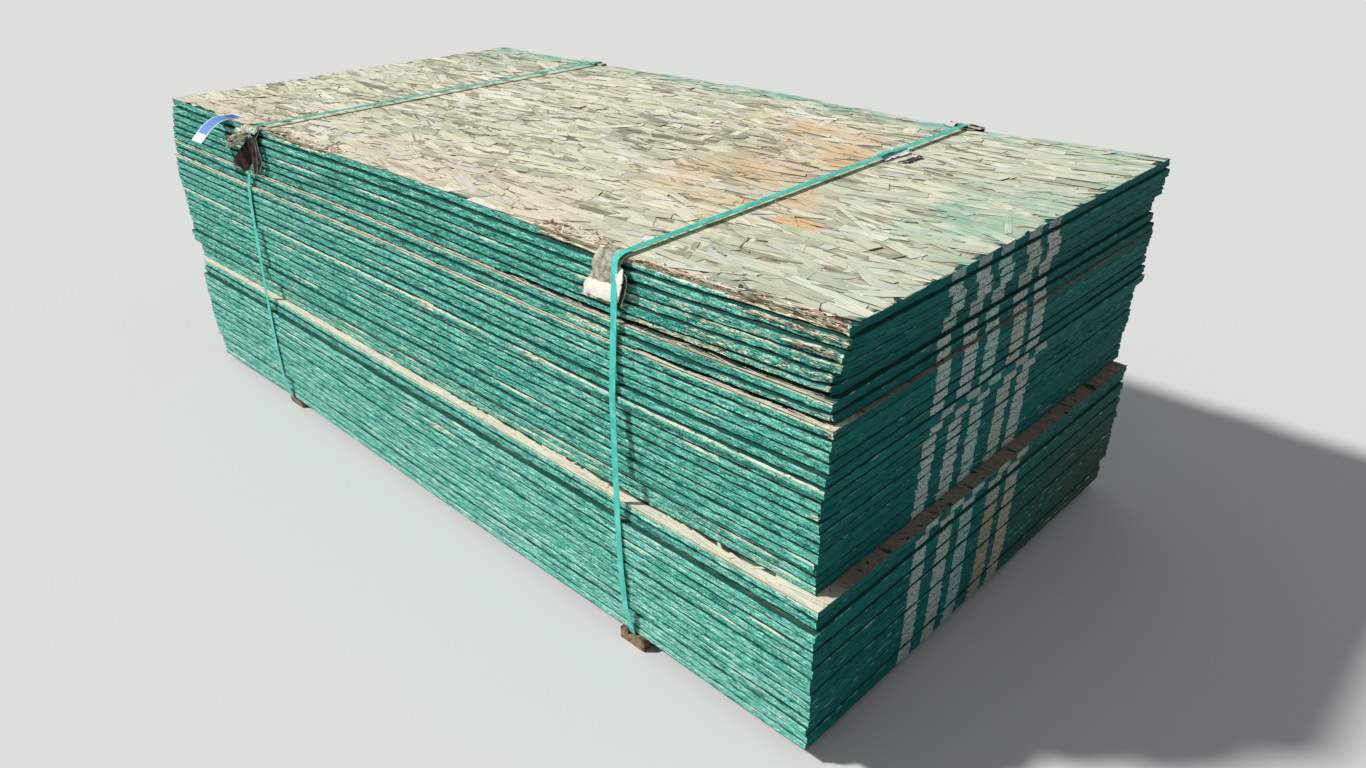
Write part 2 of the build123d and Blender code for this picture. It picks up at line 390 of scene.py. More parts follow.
    def bump(self, height: Socket, distance: float, strength: float = 1.0) -> Socket:
        """A bumped normal."""
        inputs = {"Height": height, "Distance": distance, "Strength": strength}
        return self.add("Bump", inputs).outputs[0]

    def finish(
        self, colour: object, roughness: object, specular: float, normal: Socket | None = None
    ) -> bpy.types.Material:
        """Wire the shader.

        Args:
            colour: A colour, or a socket that gives one.
            roughness: A number, or a socket that gives one.
            specular: Strength of the shine.
            normal: The bumped normal, if there is one.

        Returns:
            The material.
        """
        inputs = {"Base Color": colour, "Roughness": roughness, "Specular IOR Level": specular}
        if normal is not None:
            inputs["Normal"] = normal
        for name, value in inputs.items():
            self.feed(self.shader.inputs[name], value)
        return self.material


# Frayed wood from dark to cream; the darkest stop is painted shade in the cavities between
# splinters
FRAYED_STOPS: Stops = (
    (0.37, (0.022, 0.015, 0.011)),
    (0.42, (0.17, 0.105, 0.070)),
    (0.47, (0.55, 0.38, 0.27)),
    (0.53, (0.76, 0.60, 0.43)),
    (0.60, (0.90, 0.82, 0.63)),
)


@dataclass(frozen=True)
class PaintedEdgeFinish:
    """Green edge sealer on sawn strand ends: streaked, pitted, paler on the long edges than on the
    short ends, partly from sun fading and partly as painted shade on the ends.

    The scales say how often a pattern repeats in a metre along each axis.
    """

    # Painted shade: the short ends' greens are darker than the long edges' paint, partly a deeper
    # coat and partly the shade the ends lie in.
    shaded_end_paint: Colour = (0.001, 0.094, 0.088)
    shaded_end_streak: Colour = (0.005, 0.132, 0.122)
    pit_shade: Colour = (0.006, 0.022, 0.020)
    gap_shade: Colour = (0.004, 0.016, 0.015)
    shaded_hollow: Colour = (0.018, 0.011, 0.008)
    cream: Colour = (0.82, 0.80, 0.58)
    glint: Colour = (0.42, 0.74, 0.60)
    grime: Colour = (0.055, 0.085, 0.058)
    # Bare wood of torn edges; the darkest stop is painted shade in the cavities between splinters
    raw_stops: Stops = (
        (0.37, (0.022, 0.015, 0.011)),
        (0.42, (0.11, 0.09, 0.055)),
        (0.46, (0.54, 0.44, 0.29)),
        (0.52, (0.80, 0.71, 0.49)),
        (0.60, (0.90, 0.86, 0.64)),
    )
    front_stops: Stops = (
        (0.22, (0.004, 0.032, 0.026)),
        (0.36, (0.015, 0.150, 0.112)),
        (0.49, (0.060, 0.375, 0.285)),
        (0.61, (0.160, 0.580, 0.465)),
        (0.78, (0.660, 0.850, 0.730)),
    )
    streak_scale: Point = (48, 48, 400)
    broad_scale: Point = (15, 15, 170)
    speck_scale: Point = (270, 270, 520)
    front_shares: tuple[float, float, float] = (0.46, 0.22, 0.32)
    contrast: float = 2.15
    faded_heights: Border = (0.55, 0.10)
    calm_scale: Point = (30, 30, 240)
    grime_across: Border = (-0.20, 0.45)
    grime_heights: Border = (0.48, 0.10)
    dash_scale: Point = (6, 6, 60)
    glint_scale: Point = (11, 11, 200)
    pit_scale: Point = (180, 180, 330)
    splinter_scale: Point = (26, 26, 330)
    torn_scale: Point = (70, 70, 330)
    end_facing: Border = (0.5, 0.7)
    front_facing: Border = (0.5, 0.2)
    relief: float = 0.004
    bar_fray: float = 0.009
    bar_heights: Border = (0.40, 0.25)
    bar_edges: tuple[tuple[float, float], ...] = (
        (-0.303, -0.260), (-0.218, -0.170), (-0.138, -0.092), (-0.038, 0.012), (0.040, 0.093),
    )
    bar_upper: tuple[Colour, ...] = (
        (0.50, 0.58, 0.54),
        (0.53, 0.57, 0.54),
        (0.45, 0.60, 0.57),
        (0.50, 0.53, 0.45),
        (0.53, 0.55, 0.49),
    )
    bar_lower: tuple[Colour, ...] = (
        (0.48, 0.54, 0.49),
        (0.50, 0.53, 0.46),
        (0.37, 0.52, 0.52),
        (0.49, 0.38, 0.27),
        (0.53, 0.43, 0.34),
    )

    def bar_ramp(
        self, sheet: NodeSheet, share: Socket, colours: Sequence[Colour]
    ) -> tuple[Socket, Socket]:
        """Colour the five bars by their place across the end.

        Args:
            sheet: The material's nodes.
            share: The place across the end, 0.5 at its middle.
            colours: One colour for each bar.

        Returns:
            The bars' colour, and 1 on a bar.
        """
        stops: list[tuple[float, Sequence[float]]] = [(0.0, (*self.shaded_end_paint, 0.0))]
        for (near, far), colour in zip(self.bar_edges, colours):
            stops.append((near + 0.5, (*colour, 1.0)))
            stops.append((far + 0.5, (*self.shaded_end_paint, 0.0)))
        return sheet.ramp(share, stops, hard=True)

    def bars(self, sheet: NodeSheet, on_right: Socket) -> tuple[Socket, Socket]:
        """Spray the bars on the right end.

        Args:
            sheet: The material's nodes.
            on_right: 1 on the right end.

        Returns:
            The bars' colour, and how far they cover the green.
        """
        fray = sheet.clouds(150.0, 3.0, 0.7)
        share = sheet.total(
            sheet.attribute("across"),
            sheet.math("MULTIPLY_ADD", fray, 2 * self.bar_fray, 0.5 - self.bar_fray),
        )
        upper, cover = self.bar_ramp(sheet, share, self.bar_upper)
        lower, _ = self.bar_ramp(sheet, share, self.bar_lower)
        colour = sheet.mix(sheet.span(sheet.z, *self.bar_heights), upper, lower)
        speckle = sheet.noise(sheet.scaled(sheet.place, (1, 1, 1.5)), 300.0, 2.0, 0.8)
        broken = sheet.span(speckle, 0.41, 0.54, 0.12, 1.0)
        return colour, sheet.product(cover, on_right, broken, sheet.attribute("bar_cover"))

    def front_paint(self, sheet: NodeSheet, tone: Socket) -> tuple[Socket, Socket]:
        """Colour the faded, streaked paint of the long edges.

        Args:
            sheet: The material's nodes.
            tone: How light the panel is.

        Returns:
            The colour, and the streaks that also lift the surface.
        """
        patterns = (
            sheet.stretched(self.streak_scale, 4.0, 0.66),
            sheet.stretched(self.broad_scale, 3.0),
            sheet.stretched(self.speck_scale, 2.0, 0.7),
        )
        level = sheet.total(*map(sheet.product, patterns, self.front_shares))
        lifted = sheet.math("SUBTRACT", level, 0.5)
        lifted = sheet.math("MULTIPLY_ADD", lifted, self.contrast, 0.5)
        lifted = sheet.shaken(lifted, tone, 0.05)
        faded = sheet.span(sheet.z, *self.faded_heights, -0.01, 0.045)
        return sheet.ramp(sheet.total(lifted, faded), self.front_stops)[0], level

    def shaded_end_coat(self, sheet: NodeSheet, tone: Socket, calm: Socket) -> Socket:
        """Colour the short edges darker than the long ones, partly as a deeper coat and partly as
        painted shade, with grime low on the far side.

        Args:
            sheet: The material's nodes.
            tone: How light the panel is.
            calm: Quiet streaks, from 0 to 1.

        Returns:
            The colour.
        """
        colour = sheet.mix(sheet.span(calm, 0.38, 0.66), self.shaded_end_paint, self.shaded_end_streak)
        colour = sheet.shaded(colour, sheet.math("MULTIPLY_ADD", tone, 0.45, 0.75))
        grimy = sheet.product(
            sheet.span(sheet.y, *self.grime_across), sheet.span(sheet.z, *self.grime_heights), 0.85
        )
        return sheet.mix(grimy, colour, self.grime)

    def worn_arris(
        self, sheet: NodeSheet, colour: Socket, rise: Socket, steep: Socket
    ) -> tuple[Socket, Socket]:
        """Show pale wood and a painted highlight along the upper front arris.

        Args:
            sheet: The material's nodes.
            colour: The paint.
            rise: Share of the panel's thickness.
            steep: How far the surface faces one of the ends.

        Returns:
            The colour, and where the wood is bare.
        """
        on_front = sheet.span(steep, *self.front_facing)
        near_top = sheet.product(sheet.span(rise, 0.62, 0.80), on_front)
        dashes = sheet.stretched(self.dash_scale, 6.0, 0.7)
        pale = sheet.total(sheet.product(sheet.attribute("cream"), 0.26), dashes)
        pale = sheet.product(sheet.span(pale, 0.64, 0.74), near_top)
        colour = sheet.mix(sheet.product(pale, 0.9), colour, self.cream)
        # Painted highlight: a pale glint along the upper front arris.
        glint = sheet.span(sheet.stretched(self.glint_scale, 5.0, 0.7), 0.50, 0.62)
        return sheet.mix(sheet.product(glint, near_top, 0.65), colour, self.glint), pale

    def torn_wood(
        self, sheet: NodeSheet, colour: Socket, fray: Socket, on_end: Socket
    ) -> Socket:
        """Show splintered wood where the edge is frayed, and painted shade where it is hollow.

        Args:
            sheet: The material's nodes.
            colour: The colour so far.
            fray: 1 in splinters, -1 in a hollow.
            on_end: 1 on the short edges.

        Returns:
            The colour.
        """
        raw, _ = sheet.ramp(sheet.stretched(self.splinter_scale, 5.0, 0.7), self.raw_stops)
        ragged = sheet.product(fray, sheet.fade(on_end, 1.0, 0.6))
        ragged = sheet.shaken(ragged, sheet.stretched(self.torn_scale, 4.0, 0.7), 1.6)
        ragged = sheet.total(ragged, sheet.fade(on_end, 0.0, -0.30))
        colour = sheet.mix(sheet.span(ragged, 0.46, 0.58), colour, raw)
        # Painted shade: a hollow under an overhanging sheet is darkened as if in shade.
        return sheet.mix(sheet.span(fray, -0.2, -0.6), colour, self.shaded_hollow)

    def material(self) -> bpy.types.Material:
        """Layer the paint, the bars, the wear and a painted glint, with painted shade in the pits,
        the hollows and the gaps between sheets.

        Returns:
            The material.
        """
        sheet = NodeSheet("painted_edge")
        rise, tone, fray = (sheet.attribute(name) for name in ("rise", "tone", "fray"))
        facing = sheet.facing()
        steep = sheet.math("ABSOLUTE", facing)
        on_end = sheet.span(steep, *self.end_facing)
        calm = sheet.stretched(self.calm_scale, 4.0)
        front, level = self.front_paint(sheet, tone)
        colour = sheet.mix(on_end, front, self.shaded_end_coat(sheet, tone, calm))
        bars, cover = self.bars(sheet, sheet.span(facing, *self.end_facing))
        colour = sheet.mix(cover, colour, bars)
        colour, pale = self.worn_arris(sheet, colour, rise, steep)
        # Painted shade: the pits in the paint are darkened as if in shade, less so on the ends.
        pits = sheet.span(sheet.stretched(self.pit_scale, 3.0), 0.40, 0.33)
        pits = sheet.product(pits, sheet.fade(on_end, 0.9, 0.25))
        colour = sheet.mix(pits, colour, self.pit_shade)
        colour = self.torn_wood(sheet, colour, fray, on_end)
        # Painted shade: the paint darkens towards each sheet's lower and upper rim, as shade in
        # the gaps between sheets; less on pale arrises and on the ends.
        uneven = sheet.shaken(rise, calm, 0.15)
        gap_shade_bands = (sheet.span(uneven, 0.22, 0.10), sheet.span(uneven, 0.92, 0.99, 0.0, 0.7))
        fades = (sheet.fade(pale, 1.0, 0.2), sheet.fade(on_end, 1.0, 0.25))
        colour = sheet.mix(sheet.product(sheet.highest(*gap_shade_bands), *fades), colour, self.gap_shade)
        height = sheet.math("SUBTRACT", level, sheet.product(pits, 0.35))
        normal = sheet.bump(height, self.relief, 0.8)
        return sheet.finish(colour, sheet.span(level, 0.4, 0.6, 0.78, 0.60), 0.12, normal)


@dataclass(frozen=True)
class StrandFinish:
    """Weathered wood strands: each with its own tone, with grain along its own length.

    The borders are places in metres, along the unit or across it.
    """

    name: str = "top_strand"
    weathered: bool = True
    stops: Stops = (
        (0.00, (0.18, 0.145, 0.11)),
        (0.02, (0.34, 0.33, 0.24)),
        (0.09, (0.48, 0.50, 0.36)),
        (0.25, (0.62, 0.61, 0.44)),
        (0.50, (0.75, 0.70, 0.51)),
        (0.72, (0.86, 0.81, 0.62)),
        (0.88, (0.66, 0.64, 0.58)),
        (1.00, (0.93, 0.89, 0.73)),
    )
    sage: Colour = (0.50, 0.59, 0.43)
    rosy: Colour = (0.78, 0.62, 0.48)
    stain: Colour = (0.76, 0.50, 0.27)
    spray: Colour = (0.16, 0.47, 0.38)
    seam_shade: Colour = (0.10, 0.095, 0.065)
    shade: Colour = (0.19, 0.14, 0.115)
    fresh: Colour = (0.90, 0.80, 0.62)
    seam_shade_share: float = 0.72
    grain_scale: Point = (16, 460, 1)
    grain_relief: float = 0.0006
    sage_along: Border = (0.4, 1.2)
    stain_slant: float = 0.35
    stain_along: tuple[Border, Border] = ((0.22, 0.55), (0.82, 0.74))
    stain_across: tuple[Border, Border] = ((-0.42, -0.10), (0.50, 0.36))
    spot_along: tuple[Border, Border] = ((0.79, 0.82), (0.93, 0.90))
    spot_across: tuple[Border, Border] = ((-0.26, -0.245), (-0.195, -0.21))
    rosy_along: Border = (0.75, 0.35)
    rosy_across: Border = (-0.20, -0.50)
    back_spray: Border = (0.50, 0.66)
    end_spray: Border = (1.05, 1.24)
    corner_along: Border = (-0.85, -1.20)
    corner_across: Border = (0.35, 0.60)
    blot_along: Border = (0.95, 1.02)
    blot_across: tuple[Border, Border] = ((-0.25, -0.05), (0.30, 0.10))
    end_shade_along: Border = (1.12, 1.19)
    end_shade_across: Border = (-0.60, -0.50)

    def stained(self, sheet: NodeSheet, colour: Socket) -> Socket:
        """Stain the wood in front of the right strap, more strongly behind it, and the front rosy.

        Args:
            sheet: The material's nodes.
            colour: The strands' own colour.

        Returns:
            The stained colour.
        """
        patch = sheet.clouds(5.0, 4.0, 0.65)
        slant = sheet.total(sheet.x, sheet.product(sheet.y, self.stain_slant))
        along = sheet.between(slant, *self.stain_along)
        across = sheet.between(sheet.y, *self.stain_across)
        broad = sheet.product(along, across, sheet.span(patch, 0.34, 0.58), 0.75)
        spot = sheet.product(
            sheet.between(sheet.x, *self.spot_along), sheet.between(sheet.y, *self.spot_across)
        )
        colour = sheet.mix(sheet.highest(broad, spot), colour, self.stain)
        rosy = sheet.product(
            sheet.span(sheet.x, *self.rosy_along),
            sheet.span(sheet.y, *self.rosy_across),
            sheet.span(patch, 0.38, 0.60),
            0.42,
        )
        return sheet.mix(rosy, colour, self.rosy)

    def sprayed(self, sheet: NodeSheet, colour: Socket) -> Socket:
        """Mist edge paint along the back edge, the right end and the far left corner.

        Args:
            sheet: The material's nodes.
            colour: The colour so far.

        Returns:
            The colour with the paint mist on it.
        """
        mist = sheet.clouds(7.0, 5.0, 0.7)
        back = sheet.span(sheet.y, *self.back_spray)
        end = sheet.span(sheet.x, *self.end_spray, 0.0, 0.45)
        corner = sheet.product(
            sheet.span(sheet.x, *self.corner_along), sheet.span(sheet.y, *self.corner_across)
        )
        blot = sheet.product(
            sheet.span(sheet.x, *self.blot_along), sheet.between(sheet.y, *self.blot_across), 0.6
        )
        over = sheet.highest(back, end, corner, blot)
        share = sheet.product(over, sheet.span(mist, 0.40, 0.60), 0.85)
        return sheet.mix(share, colour, self.spray)

    def material(self) -> bpy.types.Material:
        """Layer the strands' tones, their stains, their grain and the painted shade along the
        seams between them.

        Returns:
            The material.
        """
        sheet = NodeSheet(self.name)
        tone = sheet.attribute("tone")
        grain = sheet.noise(sheet.scaled(sheet.uv(), self.grain_scale), 1.0, 5.0, 0.7)
        colour, _ = sheet.ramp(tone, self.stops)
        if self.weathered:
            cloud = sheet.clouds(3.2, 3.0, 0.6)
            greener = sheet.total(
                sheet.span(sheet.x, *self.sage_along, 0.0, 0.35),
                sheet.span(cloud, 0.45, 0.72, 0.0, 0.28),
            )
            colour = sheet.mix(greener, colour, self.sage)
            colour = self.sprayed(sheet, self.stained(sheet, colour))
        else:
            colour = sheet.mix(0.45, colour, self.fresh)
            # Painted shade: ledge strands at the right end, where the unit's end lies in shade,
            # are darkened.
            in_end_shade = sheet.product(
                sheet.span(sheet.x, *self.end_shade_along),
                sheet.span(sheet.y, *self.end_shade_across),
                0.85,
            )
            colour = sheet.mix(in_end_shade, colour, self.shade)
        raw, _ = sheet.ramp(sheet.math("MULTIPLY_ADD", tone, 0.36, 0.33), FRAYED_STOPS)
        colour = sheet.mix(sheet.attribute("raw"), colour, raw)
        colour = sheet.shaded(colour, sheet.span(grain, 0.30, 0.60, 0.52, 1.08), 0.85)
        # Painted shade: each strand darkens along its sides, standing in for the shade in the
        # seams between strands.
        side = sheet.math("ABSOLUTE", sheet.attribute("side"))
        seam_shade = sheet.span(sheet.shaken(side, grain, 0.05), 0.92, 0.98, 0.0, self.seam_shade_share)
        colour = sheet.mix(seam_shade, colour, self.seam_shade)
        return sheet.finish(colour, 0.85, 0.15, sheet.bump(grain, self.grain_relief, 0.8))


@dataclass(frozen=True)
class BareBoardFinish:
    """The face of a board: paint mist along its rim, strands with dark gaps further in.

    The top panel's face is sunlit wood, and the faces below its height, seen in the gaps and on
    the ledges under the panels above, are darker olive as painted shade.
    """

    light: Colour = (0.62, 0.57, 0.41)
    dark: Colour = (0.32, 0.28, 0.20)
    shaded_pale: Colour = (0.15, 0.19, 0.11)
    shaded_deep: Colour = (0.025, 0.038, 0.026)
    mist: Colour = (0.012, 0.085, 0.070)
    broad_scale: Point = (14, 60, 60)
    fine_scale: Point = (30, 500, 500)
    shaded_face_heights: Border = (0.835, 0.825)
    mist_reach: Border = (0.016, 0.007)
    mist_swing: float = 0.008
    relief: float = 0.002

    def material(self) -> bpy.types.Material:
        """Layer the strands, the painted shade on the lower faces and the paint mist.

        Returns:
            The material.
        """
        sheet = NodeSheet("bare_board")
        broad = sheet.stretched(self.broad_scale, 5.0, 0.65)
        fine = sheet.stretched(self.fine_scale, 4.0)
        share = sheet.span(broad, 0.35, 0.65)
        colour = sheet.mix(share, self.dark, self.light)
        # Painted shade: below the top panel the board's colours are dark olive, for the shade in
        # the gaps and on the ledges.
        low = sheet.mix(share, self.shaded_deep, self.shaded_pale)
        colour = sheet.mix(sheet.span(sheet.z, *self.shaded_face_heights), colour, low)
        colour = sheet.shaded(colour, sheet.span(fine, 0.4, 0.6, 1.0, 0.7))
        reach = sheet.shaken(sheet.attribute("inset"), broad, self.mist_swing)
        colour = sheet.mix(sheet.span(reach, *self.mist_reach), colour, self.mist)
        return sheet.finish(colour, 0.9, 0.1, sheet.bump(broad, self.relief))


@dataclass(frozen=True)
class StrapFinish:
    """Extruded green plastic strap with its waffle embossing."""

    body: Colour = (0.030, 0.50, 0.39)
    light: Colour = (0.12, 0.70, 0.58)
    waffle_turns: float = 2600.0
    waffle_depth: float = 0.00025

    def material(self) -> bpy.types.Material:
        """Layer the wear and the scuffs, and emboss the two crossing sets of ridges.

        Returns:
            The material.
        """
        sheet = NodeSheet("green_strap")
        along = sheet.total(sheet.y, sheet.z)
        ridges = [
            sheet.math("SINE", sheet.product(sheet.math(way, sheet.x, along), self.waffle_turns))
            for way in ("ADD", "SUBTRACT")
        ]
        wear = sheet.clouds(26.0)
        scuffs = sheet.clouds(140.0, 3.0, 0.7)
        colour = sheet.mix(sheet.span(wear, 0.38, 0.66, 0.05, 0.85), self.body, self.light)
        colour = sheet.shaded(colour, sheet.span(scuffs, 0.30, 0.45, 0.72, 1.0))
        normal = sheet.bump(sheet.product(*ridges), self.waffle_depth, 0.6)
        return sheet.finish(colour, sheet.span(wear, 0.3, 0.7, 0.28, 0.42), 0.5, normal)


@dataclass(frozen=True)
class GuardFinish:
    """Laminated paperboard: blotched by rain, with fibres standing out.

    Below the height white_below, where there is one, its white paper is bare.
    """

    name: str
    deep: Colour
    light: Colour
    white: Colour = (0.90, 0.88, 0.77)
    white_below: float = 0.0
    tear_swing: float = 0.008
    fibre_scale: Point = (90, 90, 500)
    relief: float = 0.001

    def material(self) -> bpy.types.Material:
        """Layer the blots, the fibres and the bare paper.

        Returns:
            The material.
        """
        sheet = NodeSheet(self.name)
        blots = sheet.clouds(55.0, 5.0, 0.65)
        fibre = sheet.stretched(self.fibre_scale, 4.0)
        colour = sheet.mix(sheet.span(blots, 0.36, 0.62), self.deep, self.light)
        colour = sheet.shaded(colour, sheet.span(fibre, 0.35, 0.6, 0.7, 1.1))
        if self.white_below:
            torn = sheet.shaken(sheet.z, blots, self.tear_swing)
            low = sheet.span(torn, self.white_below + MILLIMETRE, self.white_below - MILLIMETRE)
            paper = sheet.shaded(self.white, sheet.span(blots, 0.3, 0.6, 0.88, 1.0))
            colour = sheet.mix(low, colour, paper)
        return sheet.finish(colour, 0.85, 0.15, sheet.bump(fibre, self.relief))


@dataclass(frozen=True)
class TagFinish:
    """White card with two plain blue blocks."""

    card: Colour = (0.80, 0.84, 0.90)
    deep: Colour = (0.040, 0.115, 0.38)
    light: Colour = (0.105, 0.270, 0.58)
    block_ends: tuple[float, float, float] = (0.539, 0.565, 0.638)
    side_margin: float = 0.004
    relief: float = 0.0003

    def material(self) -> bpy.types.Material:
        """Lay the blocks by their reach towards the front, inside the side margins.

        Returns:
            The material.
        """
        sheet = NodeSheet("tag_card")
        low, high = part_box("tag")
        first, second, third = self.block_ends
        stops = ((0.0, self.card), (first, self.deep), (second, self.light), (third, self.card))
        colour, _ = sheet.ramp(sheet.product(sheet.y, -1.0), stops, hard=True)
        margin = sheet.highest(
            sheet.math("LESS_THAN", sheet.x, low[0] + self.side_margin),
            sheet.math("GREATER_THAN", sheet.x, high[0] - self.side_margin),
        )
        colour = sheet.mix(margin, colour, self.card)
        scuff = sheet.clouds(80.0)
        colour = sheet.mix(sheet.span(scuff, 0.62, 0.75, 0.0, 0.35), colour, self.card)
        return sheet.finish(colour, 0.35, 0.5, sheet.bump(scuff, self.relief))


@dataclass(frozen=True)
class RunnerFinish:
    """Rough-sawn dirty wood."""

    light: Colour = (0.34, 0.22, 0.14)
    dark: Colour = (0.10, 0.065, 0.045)
    ring_scale: Point = (90, 6, 90)
    relief: float = 0.003

    def material(self) -> bpy.types.Material:
        """Run the rings along the runner.

        Returns:
            The material.
        """
        sheet = NodeSheet("runner_wood")
        rings = sheet.stretched(self.ring_scale, 6.0)
        colour = sheet.mix(sheet.span(rings, 0.35, 0.65), self.dark, self.light)
        return sheet.finish(colour, 0.85, 0.15, sheet.bump(rings, self.relief))


@dataclass(frozen=True)
class PanelPlace:
    """Where one panel lies, read from its CAD node."""

    number: int
    centre: tuple[float, float]
    turn: float
    under_x: np.ndarray
    under_z: np.ndarray

    @classmethod
    def read(cls, number: int) -> "PanelPlace":
        """Read a panel's place, turn and bow from the corners and underside of its node.

        Args:
            number: The panel's number, from 1 at the top.

        Returns:
            The panel's place.
        """
        points = vertex_points(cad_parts[f"panel_{number:02d}"].data)
        right = points[np.argmax(points[:, 0] + points[:, 1])]
        left = points[np.argmax(points[:, 1] - points[:, 0])]
        turn = math.atan2(right[1] - left[1], right[0] - left[0])
        middle = (right[:2] + left[:2]) / 2
        centre = middle + np.array((math.sin(turn), -math.cos(turn))) * HALF_WIDTH
        depth = (points[:, :2] - left[:2]) @ np.array((-math.sin(turn), math.cos(turn)))
        back = points[depth > -0.5 * MILLIMETRE]
        xs = np.unique(back[:, 0].round(4))
        under = np.array([back[np.abs(back[:, 0] - x) < 0.2 * MILLIMETRE, 2].min() for x in xs])
        return cls(number, (float(centre[0]), float(centre[1])), turn, xs, under)

    def to_world(self, local: np.ndarray) -> np.ndarray:
        """Put points in the shared frame.

        Args:
            local: Points from the panel's middle and its underside.

        Returns:
            The points in the shared frame, bent as the panel is.
        """
        c, s = math.cos(self.turn), math.sin(self.turn)
        x = self.centre[0] + local[:, 0] * c - local[:, 1] * s
        y = self.centre[1] + local[:, 0] * s + local[:, 1] * c
        return np.column_stack((x, y, np.interp(x, self.under_x, self.under_z) + local[:, 2]))


@dataclass(frozen=True)
class Bite:
    """A stretch of one sheet's front edge that has lost wood.

    The stretch runs from start to stop along the unit, and takes the share of the thickness
    from low to high. Its wood is bare where fray is 1, and painted dark as shade where it is -1.
    """

    panel: int
    start: float
    stop: float
    depth: float
    low: float = 0.0
    high: float = 1.0
    fray: float = 1.0


BITES: tuple[Bite, ...] = (
    Bite(1, 0.975, 1.215, 0.009),
    Bite(1, 0.740, 0.975, 0.004, low=0.5, fray=0.75),
    Bite(1, 0.505, 0.685, 0.008),
    Bite(1, -0.610, -0.300, 0.007, low=0.4, fray=0.8),
    Bite(2, 1.020, 1.200, 0.007, fray=0.75),
    Bite(3, 1.100, 1.210, 0.007, fray=0.55),
    Bite(2, 0.780, 1.215, 0.002, fray=0.26),
    Bite(3, 0.860, 1.215, 0.002, fray=0.28),
    Bite(4, 0.640, 1.215, 0.003, fray=0.32),
    Bite(5, 0.900, 1.215, 0.003, fray=0.34),
    Bite(6, 1.000, 1.215, 0.003, fray=0.30),
    Bite(8, 0.960, 1.215, 0.003, fray=0.26),
    Bite(5, 0.640, 0.760, 0.005, fray=0.55),
    Bite(6, 0.780, 1.000, 0.005, low=0.45, fray=0.6),
    Bite(6, 0.420, 1.215, 0.016, high=0.42, fray=-1.0),
    Bite(8, 0.800, 1.215, 0.014, high=0.35, fray=-1.0),
    Bite(8, 0.600, 0.720, 0.005, low=0.45, fray=0.6),
    Bite(14, 0.300, 1.215, 0.010, high=0.25, fray=-1.0),
    Bite(14, 0.090, 0.160, 0.005, low=0.3, fray=0.7),
    Bite(14, 0.480, 0.550, 0.005, low=0.3, fray=0.7),
    Bite(24, -0.900, 1.150, 0.001, low=0.3, fray=0.20),
    Bite(25, -0.900, 1.150, 0.001, low=0.3, fray=0.26),
    Bite(30, 0.105, 0.155, 0.004, low=0.3, fray=0.7),
)

# How much of the near right corner has gone from each of these panels
WORN_CORNERS: dict[int, float] = {
    2: 0.016, 3: 0.005, 4: 0.018, 5: 0.024, 6: 0.014, 8: 0.014, 9: 0.004, 17: 0.008,
}

# How much of a panel's upper front arris shows pale wood through the paint
CREAM_ARRISES: dict[int, float] = {
    4: 0.60, 5: 0.35, 7: 1.0, 9: 1.0, 10: 0.30, 11: 0.35, 12: 0.40, 13: 0.25, 14: 0.95,
    15: 0.35, 16: 0.40, 17: 0.30, 18: 0.35, 20: 0.50, 22: 0.40, 24: 0.55, 25: 0.60, 26: 1.0,
    28: 0.35, 30: 0.45, 32: 0.45, 34: 0.30, 36: 0.30, 38: 0.35, 40: 0.25, 42: 0.45,
}

# How far the bars of each panel are shifted along the end, in millimetres, from the top down
BAR_SHIFTS: tuple[int, ...] = (
    -20, -30, -2, 0, 6, 12, -13, -11, -12, -9, -4, -7, -9, 31,
    51, 13, -8, -6, -12, -15, -11, -5, -8, -8, -18, 20, -9, -13,
    -9, -11, -9, -19, -12, -11, -17, -17, -16, -17, 1, -6, -15, -14,
)

# How strongly the bars show on the panels where they are faint
FAINT_BARS: dict[int, float] = {1: 0.75, 6: 0.85, 14: 0.8}


